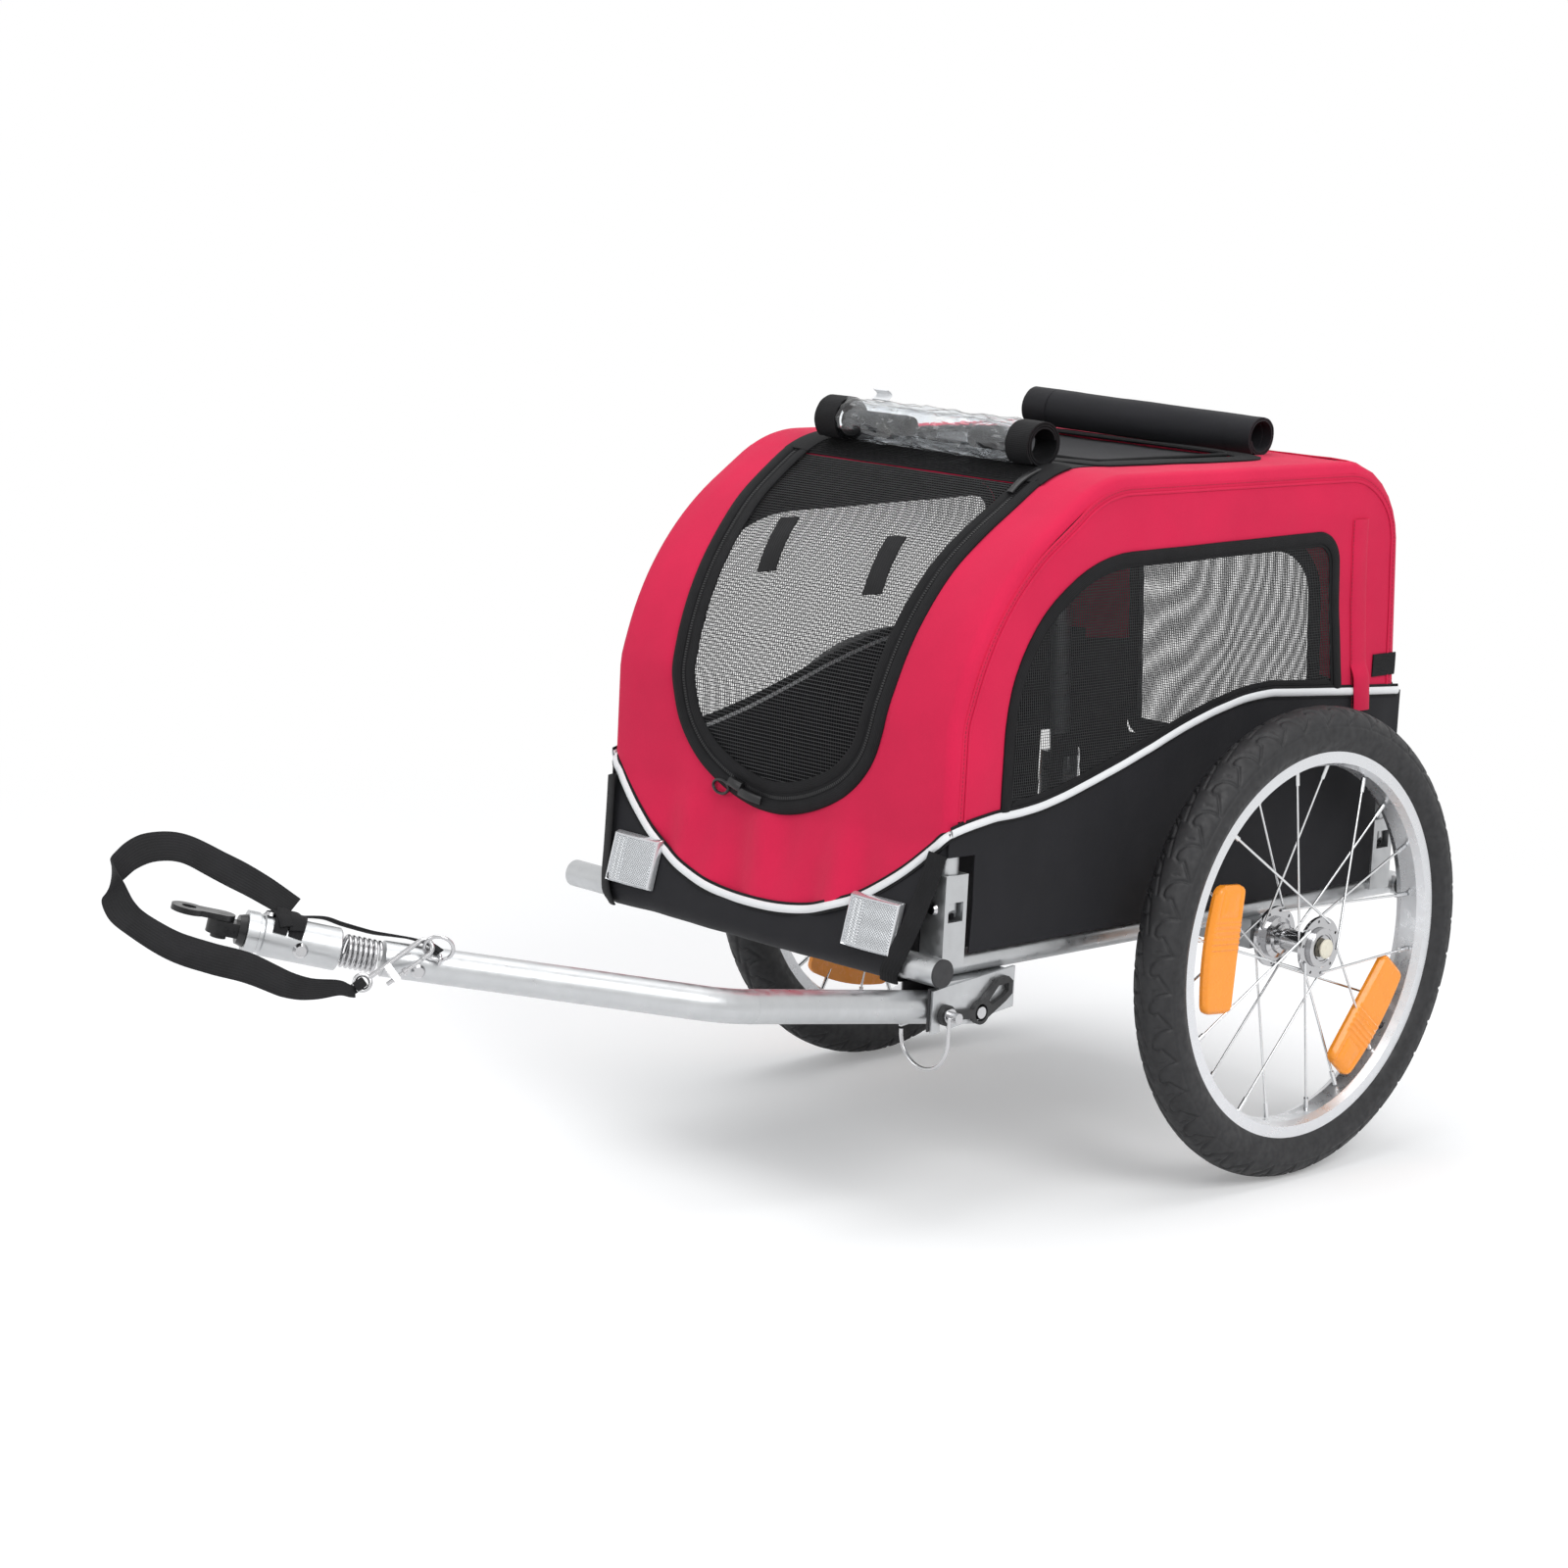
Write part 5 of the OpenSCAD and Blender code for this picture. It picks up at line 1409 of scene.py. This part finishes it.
def tyre(name, side, node_name, body):
    nt_ = 36 * TREAD_REPEAT
    th = np.linspace(0, 2 * np.pi, nt_, endpoint=False)
    ph = np.radians(np.r_[np.linspace(-148, -78, 12)[:-1], np.linspace(-78, 78, 59), np.linspace(78, 148, 12)[1:]])
    np_ = len(ph)
    TH, PH = np.meshgrid(th, ph, indexing="ij")
    deg = np.degrees(PH)
    ad = np.abs(deg)
    turn = TH * TREAD_REPEAT / (2 * np.pi)
    near_hook = np.full(TH.shape, 99.0)
    for sign, start in ((1, 0.0), (-1, 0.5)):
        cell = (turn + start) % 1.0
        lines = [line_distance(cell, sign * deg, line) for line in (HOOK, DASH)]
        near_hook = np.minimum(near_hook, np.minimum(lines[0], lines[1] + 0.5))
    near_crown = line_distance(turn % 1.0, deg, CROWN)
    cut = 1.5 * np.exp(-((near_hook / 1.15) ** 2)) + 1.3 * np.exp(-((near_crown / 1.0) ** 2))
    rings = 0.7 * np.exp(-(((ad - 71) / 1.8) ** 2)) + 0.4 * np.exp(-(((ad - 94) / 1.8) ** 2))
    rho = 20.6 - np.minimum(cut, 1.5) - rings + 0.4 * ((ad > 98) & (ad < 106))
    r = 174 + rho * np.cos(PH)
    a = rho * np.sin(PH)
    v = np.stack([side * (237 + a), r * np.cos(TH), 195 + r * np.sin(TH)], -1).reshape(-1, 3)
    f = grid_faces(nt_, np_, close=True)
    centre = np.stack([np.full(nt_, side * 237.0), 174 * np.cos(th), 195 + 174 * np.sin(th)], 1)
    nrm = np.cross(v[f[:, 2]] - v[f[:, 0]], v[f[:, 3]] - v[f[:, 1]])
    away = v[f].mean(1) - centre[(f[:, 0] // np_)]
    if (nrm * away).sum() < 0:
        f = f[:, ::-1]
    vv, ff = thicken(v, f, 2.0)
    ob_ = add_mesh(name, vv, ff, tyre_rubber, body, sharp=75)
    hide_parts(node_name)
    return ob_


tyre("left_tread", 1, "left_tyre", "left_wheel")
tyre("right_tread", -1, "right_tyre", "right_wheel")


def reflector_plate(name, side, world_angle, reach, body, node_name):
    """A spoke reflector: framed boss at one end, ribs, then a smooth rounded end."""
    L, Wd = 104.0, 40.0
    nu_, nv_ = 66, 26
    u_ = np.linspace(-1, 1, nu_)
    v_ = np.linspace(-1, 1, nv_)
    UU, VV = np.meshgrid(u_, v_, indexing="ij")
    ends = np.sqrt(np.maximum(0, 1 - np.clip((np.abs(UU) - 0.86) / 0.14, 0, 1) ** 2)) * 0.3 + 0.7
    long = UU * L / 2
    wide = VV * Wd / 2 * ends
    rad = reach + wide - 6 * UU**2 * (VV + 1) / 2
    height = 5.0 * (1 - np.clip((np.abs(VV) - 0.8) / 0.2, 0, 1) ** 2 * 0.75) * (1 - np.clip((np.abs(UU) - 0.92) / 0.08, 0, 1) ** 2 * 0.6)
    ribs = 0.55 * np.sin(long / 2.3 * np.pi) * ((long > -2) & (long < 24)) * (np.abs(VV) < 0.86)
    frame_line = (np.abs(np.maximum(np.abs(VV) / 0.62, np.abs(long - 38) / 11.5) - 1) < 0.09) * 0.9
    height = height + ribs - frame_line * 0.8 + 0.5 * ((np.abs(VV) < 0.35) & (np.abs(long - 38) < 7))
    a_ = math.radians(world_angle)
    er = np.array([0, math.cos(a_), math.sin(a_)])
    et = np.array([0, -math.sin(a_), math.cos(a_)]) * (-1 if side > 0 else 1)
    base = np.array([side * 242.4, 0, 195.0])
    V_ = base + rad[..., None] * er + long[..., None] * et + height[..., None] * np.array([side, 0, 0])
    f_ = grid_faces(nu_, nv_)
    v2_ = V_.reshape(-1, 3)
    nrm = np.cross(v2_[f_[:, 2]] - v2_[f_[:, 0]], v2_[f_[:, 3]] - v2_[f_[:, 1]])
    if nrm[:, 0].sum() * side < 0:
        f_ = f_[:, ::-1]
    base_v = v2_.copy()
    base_v[:, 0] = side * 240.7
    n_ = len(v2_)
    edges = np.vstack([f_[:, [0, 1]], f_[:, [1, 2]], f_[:, [2, 3]], f_[:, [3, 0]]])
    _, inv, cnt = np.unique(np.sort(edges, 1), axis=0, return_inverse=True, return_counts=True)
    rim_ = edges[cnt[inv.ravel()] == 1]
    ff = np.vstack([f_, f_[:, ::-1] + n_, np.stack([rim_[:, 1], rim_[:, 0], rim_[:, 0] + n_, rim_[:, 1] + n_], 1)])
    c_ = np.stack([long.ravel(), wide.ravel()], 1)
    ob_ = add_mesh(name, np.vstack([v2_, base_v]), ff, amber, body, np.vstack([c_, c_]), sharp=30)
    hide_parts(node_name)
    return ob_


for k, (ang, reach) in enumerate(((175.3, 109), (-39.2, 116))):
    reflector_plate(f"left_amber_{k}", 1, ang, reach, "left_wheel", "left_reflectors")
for k, ang in enumerate((-104.0, 41.0)):
    reflector_plate(f"right_amber_{k}", -1, ang, 113, "right_wheel", "right_reflectors")


def turned(profile, steps, x0, side, body, name, mat, centre=(0, 195)):
    """A ring turned about the axle: profile is (radius, distance out from x0)."""
    a_ = np.linspace(0, 2 * np.pi, steps, endpoint=False)
    pr = np.asarray(profile, float)
    V_ = np.stack(
        [
            np.broadcast_to(side * (x0 + pr[None, :, 1]), (steps, len(pr))),
            centre[0] + pr[None, :, 0] * np.cos(a_)[:, None],
            centre[1] + pr[None, :, 0] * np.sin(a_)[:, None],
        ],
        -1,
    ).reshape(-1, 3)
    m = len(pr)
    i = np.arange(steps)[:, None]
    j = np.arange(m)[None, :]
    f_ = np.stack([i * m + j, ((i + 1) % steps) * m + j, ((i + 1) % steps) * m + (j + 1) % m, i * m + (j + 1) % m], -1).reshape(-1, 4)
    if side < 0:
        f_ = f_[:, ::-1]
    return add_mesh(name, V_, f_, mat, body, sharp=35)


for side, nm in ((1, "left"), (-1, "right")):
    turned([(11.2, 0), (16.3, 0), (16.3, 1.0), (15.6, 1.6), (12.8, 1.6), (12.8, 1.0), (11.2, 1.0)], 64, 237 + 23.1, side, f"{nm}_wheel", f"{nm}_dust_ring", chrome)

# Front reflectors
def lens(name, cx_, cz_, w_, h_, y_, tilt, facing_y, mat_lens, mat_frame, node_name):
    """A bowed lens with prism rows in a smooth bezel."""
    nu_, nv_ = 81, 61
    U_, V_ = np.meshgrid(np.linspace(-1, 1, nu_), np.linspace(-1, 1, nv_), indexing="ij")
    inset = np.maximum(np.abs(U_), np.abs(V_))
    depth = 5.2 + 1.4 * (1 - U_**2) - 3.2 * np.clip((inset - 0.93) / 0.07, 0, 1) ** 2
    bezel = (np.abs(inset - 0.94) < 0.035) * 0.5 - (np.abs(inset - 0.885) < 0.02) * 0.9
    flat = (np.abs(U_) < 0.86) & (np.abs(V_) < 0.84)
    prism = 0.28 * np.sin(U_ * w_ / 2 / 1.3 * np.pi) * np.cos(V_ * h_ / 2 / 1.3 * np.pi) * (U_ > -0.3)
    bars = 0.35 * np.sin(U_ * w_ / 2 / 2.6 * np.pi) * (U_ < -0.36)
    mid_line = 0.6 * (np.abs(U_ + 0.33) < 0.03)
    dd = depth + (prism + bars - mid_line) * flat + bezel
    px = cx_ + U_ * w_ / 2
    pz = cz_ + V_ * h_ / 2
    py = y_ + facing_y * dd
    t_ = math.tan(math.radians(tilt)) * (pz - cz_)
    P_ = np.stack([px, py + t_, pz], -1).reshape(-1, 3)
    f_ = turned_out(P_, grid_faces(nu_, nv_), (cx_, y_ - facing_y * 50, cz_))
    base = P_.copy()
    base[:, 1] = y_ + t_.ravel()
    n_ = len(P_)
    edges = np.vstack([f_[:, [0, 1]], f_[:, [1, 2]], f_[:, [2, 3]], f_[:, [3, 0]]])
    _, inv, cnt = np.unique(np.sort(edges, 1), axis=0, return_inverse=True, return_counts=True)
    rim_ = edges[cnt[inv.ravel()] == 1]
    ff = np.vstack([f_, f_[:, ::-1] + n_, np.stack([rim_[:, 1], rim_[:, 0], rim_[:, 0] + n_, rim_[:, 1] + n_], 1)])
    flat_in = inset.reshape(-1)[f_].mean(1)
    idx = np.r_[(flat_in > 0.88).astype(int), np.ones(len(ff) - len(f_), int)]
    c_ = np.stack([px.ravel(), pz.ravel()], 1)
    ob_ = add_mesh(name, np.vstack([P_, base]), ff, None, "frame", np.vstack([c_, c_]), sharp=30, mats=[mat_lens, mat_frame], index=idx)
    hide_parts(node_name)
    return ob_


lens_edge = metal("lens_edge", (0.7, 0.71, 0.73), 0.15, 0.0, 0.7, 0.05)
for k, cx0 in enumerate((-135, 135)):
    lens(f"front_lens_{k}", cx0, 239, 53, 40, -392.6, 14.3, -1, clear_lens, lens_edge, "front_reflectors")
for k, cx0 in enumerate((-132, 132)):
    lens(f"rear_lens_{k}", cx0, 246, 44, 32, 181.6, -4, 1, prismatic(f"red_prisms_{k}", (0.5, 0.008, 0.01), 0.3, 0.0), red_lens, "rear_reflectors")


# Coupler: spring, strap, knot
def heading(yaw, pitch):
    y_, p_ = math.radians(yaw), math.radians(pitch)
    return np.array([-math.sin(y_) * math.cos(p_), -math.cos(y_) * math.cos(p_), math.sin(p_)])


fold_at = np.array([178, -337, 175.3])
coupler_at = fold_at + 250.5 * heading(0, 8) + 253.5 * heading(27.4, 9.3)
cu = heading(28.4, 12.5)
cx_axis = np.array([math.cos(math.radians(-28.4)), math.sin(math.radians(-28.4)), 0])
cy_axis = np.cross(cu, cx_axis)


def on_coupler(x_, y_, z_):
    return coupler_at + np.asarray(x_)[..., None] * cx_axis + np.asarray(y_)[..., None] * cy_axis + np.asarray(z_)[..., None] * cu


k = np.linspace(0, 7, 7 * 36 + 1)
rise = 31.4 - 5.6
z = 3.1 + rise * k / 7
path = on_coupler(10.6 * np.cos(2 * np.pi * k), 10.6 * np.sin(2 * np.pi * k), z)
hint = on_coupler(10.6 * np.cos(2 * np.pi * k) * 2, 10.6 * np.sin(2 * np.pi * k) * 2, z) - path
v2, f2, c2 = sweep(path, hint, ring_section(1.4, 10))
spring = add_mesh("spring_coils", v2, f2, chrome, None, c2)
tuple(to_row(coupler_at + 1 * cu))
tuple(to_row(coupler_at + 31 * cu))
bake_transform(spring)
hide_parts("hitch_spring")

route = [
    (29.1, -859.3, 286.5), (8.1, -874.9, 300.4), (-10, -892.6, 312.6), (-23.7, -913.4, 324.8), (-28.2, -934.6, 327.6),
    (-25.7, -953.7, 324.7), (-16, -974.4, 317.2), (-0.1, -987.4, 311.6), (16.6, -993.1, 300.6), (29.7, -989.4, 292),
    (46.7, -971.3, 277.9), (58.9, -948.9, 268.7), (68.3, -925.1, 260.8), (77.2, -900.6, 248.6), (78.6, -879.4, 242.5),
    (79.1, -857.3, 240.4), (76.5, -845.7, 236.1), (73.9, -839.5, 233.8),
]
widths = [20, 23, 25, 25, 24, 22, 18, 17, 19, 22, 24, 25, 25, 25, 23, 17, 12, 8]
path = spline(route, 150)
wd = np.interp(np.linspace(0, 1, 150), np.linspace(0, 1, len(widths)), widths)
side_hint = unit(np.array([0.55, -0.5, -0.66]))
t, _, _ = frames_along(path, [0, 0, 1])
upv = unit(np.cross(t, side_hint))
sec = tape_section(12.5, 1.5, 0.1)
sec = sec - np.array([0, 0.75])
_, sdv, uv = frames_along(path, upv)
n, m = len(path), len(sec)
V = path[:, None, :] + sdv[:, None, :] * (sec[None, :, 0:1] * (wd / 25)[:, None, None]) + uv[:, None, :] * sec[None, :, 1:2]
i = np.arange(n - 1)[:, None]
j = np.arange(m)[None, :]
f = np.stack([i * m + j, (i + 1) * m + j, (i + 1) * m + (j + 1) % m, i * m + (j + 1) % m], -1).reshape(-1, 4)
faces = [list(q) for q in f] + [list(range(m))[::-1], [(n - 1) * m + q for q in range(m)]]
s = np.r_[0, np.cumsum(np.linalg.norm(np.diff(path, axis=0), axis=1))]
cl = np.stack([np.broadcast_to(s[:, None], (n, m)), np.broadcast_to(sec[None, :, 0], (n, m))], -1).reshape(-1, 2)
strap_parts = Parts().add(V.reshape(-1, 3), faces, cl)
# the strap's end goes round the hook's eye
eye_c = np.array([74.0, -832.6, 239.6])
a = np.linspace(-0.6, 2 * np.pi - 1.4, 40)
ex, ez = unit(np.array([0.2543, 0.7991, 0.5448])), unit(np.array([0.5352, 0.3529, -0.7674]))
ey = np.cross(ex, ez)
loop_p = eye_c + 0 * ex + (-5.5 * ex) + 4.2 * (np.cos(a)[:, None] * ex * -1.5 + np.sin(a)[:, None] * ey)
strap_parts.add(*sweep(loop_p, loop_p - (eye_c - 5.5 * ex), tape_section(3.6, 1.2, 0.1)))
strap = strap_parts.make("safety_webbing", [strap_cloth], None, "strap_webbing")
tuple(to_row([72.0, -842.0, 235.0]))
tuple(to_row([30.0, -880.0, 290.0]))
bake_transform(strap)
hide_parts("safety_strap")

# knot of webbing on the sleeve, and its thin tail laid along the coupler
kn = Parts()
kc = on_coupler(np.array(2.0), np.array(17.2), np.array(70.0))
for q, (ox, oy, oz, hw, rot) in enumerate(((0, 0, -7, 8.5, 0.25), (1, 1.6, -1, 8.5, -0.3), (-1, 2.2, 5, 8.0, 0.15), (3, 0.6, 9, 8.0, -0.55))):
    aa = np.linspace(-1.25, 1.25, 16)
    bend_r = 14.6 + oy
    ang = aa + rot * 0.6
    pth = on_coupler(bend_r * np.sin(ang) * 0.92 + ox, bend_r * np.cos(ang) * 1.0 + 1.6, 70 + oz + rot * 9 * aa)
    hint = pth - on_coupler(np.full(16, 0.0), np.full(16, 0.0), 70 + oz + rot * 9 * aa)
    kn.add(*sweep(pth, hint, tape_section(hw * 0.62, 1.7, 0.5)))
kn.make("strap_knot", [strap_cloth], "coupler", "strap_webbing")

tail = Parts()
pts_t = np.array([(-4, 15.6, 62), (-8, 17.5, 45), (-9, 15.8, 32), (-8, 14.8, 18), (-7, 14.5, 8), (-5, 15.5, -4), (-2, 16.5, -18), (3, 16.4, -30), (9, 14.0, -37)], float)
pt = spline(np.array([on_coupler(np.array(p_[0]), np.array(p_[1]), np.array(p_[2])) for p_ in pts_t]), 60)
tail.add(*sweep(pt, pt - (coupler_at + ((pt - coupler_at) @ cu)[:, None] * cu), tape_section(3.2, 1.3, 0.4)))
tail_ob = tail.make("strap_tail", [strap_cloth], None, "strap_webbing")
tuple(to_row(coupler_at + 1 * cu))
tuple(to_row(coupler_at + 31 * cu))
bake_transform(tail_ob)

# Cover pieces: each is given its own mesh data at the end
SOFT_TOP = [
    "front_cloth", "skirt_cloth", "roof_cloth", "hatch_binding", "hatch_mesh", "back_cloth", "back_window_binding", "back_window_mesh",
    "door_mesh", "door_binding", "door_frame_binding", "zip_pulls", "zip_teeth_row", "door_stitches_inner", "door_stitches_outer", "door_tabs",
    "clear_roll_film", "clear_roll_ends_and_shade_cores", "clear_roll_tab", "black_roll", "flag_sleeve_cloth", "flag_sleeve_stitches", "blank_tag",
    "front_piping", "left_piping", "right_piping", "back_piping_0", "back_piping_1",
]
for nm in ("left", "right"):
    SOFT_TOP += [f"{nm}_side_cloth", f"{nm}_side_lower_cloth", f"{nm}_window_binding", f"{nm}_window_mesh", f"{nm}_window_stitches", f"{nm}_edge_seam", f"{nm}_edge_stitches"]

# Stage, light, camera
scene = bpy.context.scene
scene.view_settings.view_transform = "Standard"

bpy.ops.mesh.primitive_plane_add(size=60, location=(0, 0, 0))
floor = bpy.context.object
floor.name = "studio_floor"
mat, nt, b = new_material("floor_paint")
b.inputs["Base Color"].default_value = (0.86, 0.86, 0.86, 1)
b.inputs["Roughness"].default_value = 0.95
b.inputs["Specular IOR Level"].default_value = 0.0
path_node = nt.nodes.new("ShaderNodeLightPath")
seen = math_node(nt, "MAXIMUM", math_node(nt, "MAXIMUM", path_node.outputs["Is Camera Ray"], path_node.outputs["Is Glossy Ray"]), path_node.outputs["Is Transmission Ray"])
b.inputs["Emission Color"].default_value = (1, 1, 1, 1)
nt.links.new(math_node(nt, "MULTIPLY", seen, 0.22), b.inputs["Emission Strength"])
# away from the trailer the floor passes into the white of the backdrop
reach = node(nt, "ShaderNodeVectorMath", operation="LENGTH")
nt.links.new(object_coords(nt), reach.inputs[0])
fade = node(nt, "ShaderNodeMapRange", interpolation_type="SMOOTHSTEP")
nt.links.new(reach.outputs["Value"], fade.inputs["Value"])
fade.inputs["From Min"].default_value, fade.inputs["From Max"].default_value = 0.75, 1.9
white_floor = node(nt, "ShaderNodeEmission", Strength=1.0)
white_floor.inputs["Color"].default_value = (1, 1, 1, 1)
blend_floor = nt.nodes.new("ShaderNodeMixShader")
nt.links.new(math_node(nt, "MULTIPLY", fade.outputs[0], seen), blend_floor.inputs[0])
nt.links.new(b.outputs[0], blend_floor.inputs[1])
nt.links.new(white_floor.outputs[0], blend_floor.inputs[2])
nt.links.new(blend_floor.outputs[0], nt.nodes["Material Output"].inputs[0])
floor.data.materials.append(mat)

world = bpy.data.worlds.new("studio")
scene.world = world
world.use_nodes = True
wt = world.node_tree
wt.nodes.clear()
wo = wt.nodes.new("ShaderNodeOutputWorld")
soft_bg = node(wt, "ShaderNodeBackground", Strength=0.55)
soft_bg.inputs["Color"].default_value = (0.95, 0.97, 1.0, 1)
white_bg = node(wt, "ShaderNodeBackground", Strength=1.0)
white_bg.inputs["Color"].default_value = (1, 1, 1, 1)
lp = wt.nodes.new("ShaderNodeLightPath")
pick = math_node(wt, "MAXIMUM", math_node(wt, "MAXIMUM", lp.outputs["Is Camera Ray"], lp.outputs["Is Glossy Ray"]), lp.outputs["Is Transmission Ray"])
mix = wt.nodes.new("ShaderNodeMixShader")
wt.links.new(pick, mix.inputs[0])
wt.links.new(soft_bg.outputs[0], mix.inputs[1])
wt.links.new(white_bg.outputs[0], mix.inputs[2])
wt.links.new(mix.outputs[0], wo.inputs[0])


def area(name, at, look, size, watts, size_y=None):
    lamp = bpy.data.lights.new(name, "AREA")
    lamp.energy = watts
    lamp.size = size
    if size_y:
        lamp.shape = "RECTANGLE"
        lamp.size_y = size_y
    o = bpy.data.objects.new(name, lamp)
    scene.collection.objects.link(o)
    o.location = at
    o.rotation_mode = "QUATERNION"
    o.rotation_quaternion = (Vector(look) - Vector(at)).to_track_quat("-Z", "Y")
    return o


area("key_lamp", (2.6, -0.6, 2.4), (0, 0.2, 0.35), 1.8, 54)
area("top_lamp", (-0.2, 0.2, 3.0), (0, 0.2, 0.3), 2.4, 34)
area("front_lamp", (-0.9, -3.0, 1.6), (0, 0.2, 0.35), 1.6, 17)

cam = bpy.data.cameras.new("photo_camera")
cam.sensor_width = 36
cam.lens = 85.46
cam.clip_start, cam.clip_end = 0.05, 60
cam_ob = bpy.data.objects.new("photo_camera", cam)
scene.collection.objects.link(cam_ob)
az, el, roll = (math.radians(a) for a in (45.38, 10.56, 2.78))
back = Vector((math.sin(az) * math.cos(el), -math.cos(az) * math.cos(el), math.sin(el)))
right = Vector((math.cos(az), math.sin(az), 0))
up = back.cross(right)
r2 = right * math.cos(roll) + up * math.sin(roll)
u2 = up * math.cos(roll) - right * math.sin(roll)
eye = to_row([2041.86, -2377.41, 855.86])
cam_ob.matrix_world = Matrix(
    ((r2.x, u2.x, back.x, eye[0]), (r2.y, u2.y, back.y, eye[1]), (r2.z, u2.z, back.z, eye[2]), (0, 0, 0, 1))
)
scene.camera = cam_ob

for nm in SOFT_TOP:
    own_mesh(bpy.data.objects[nm])
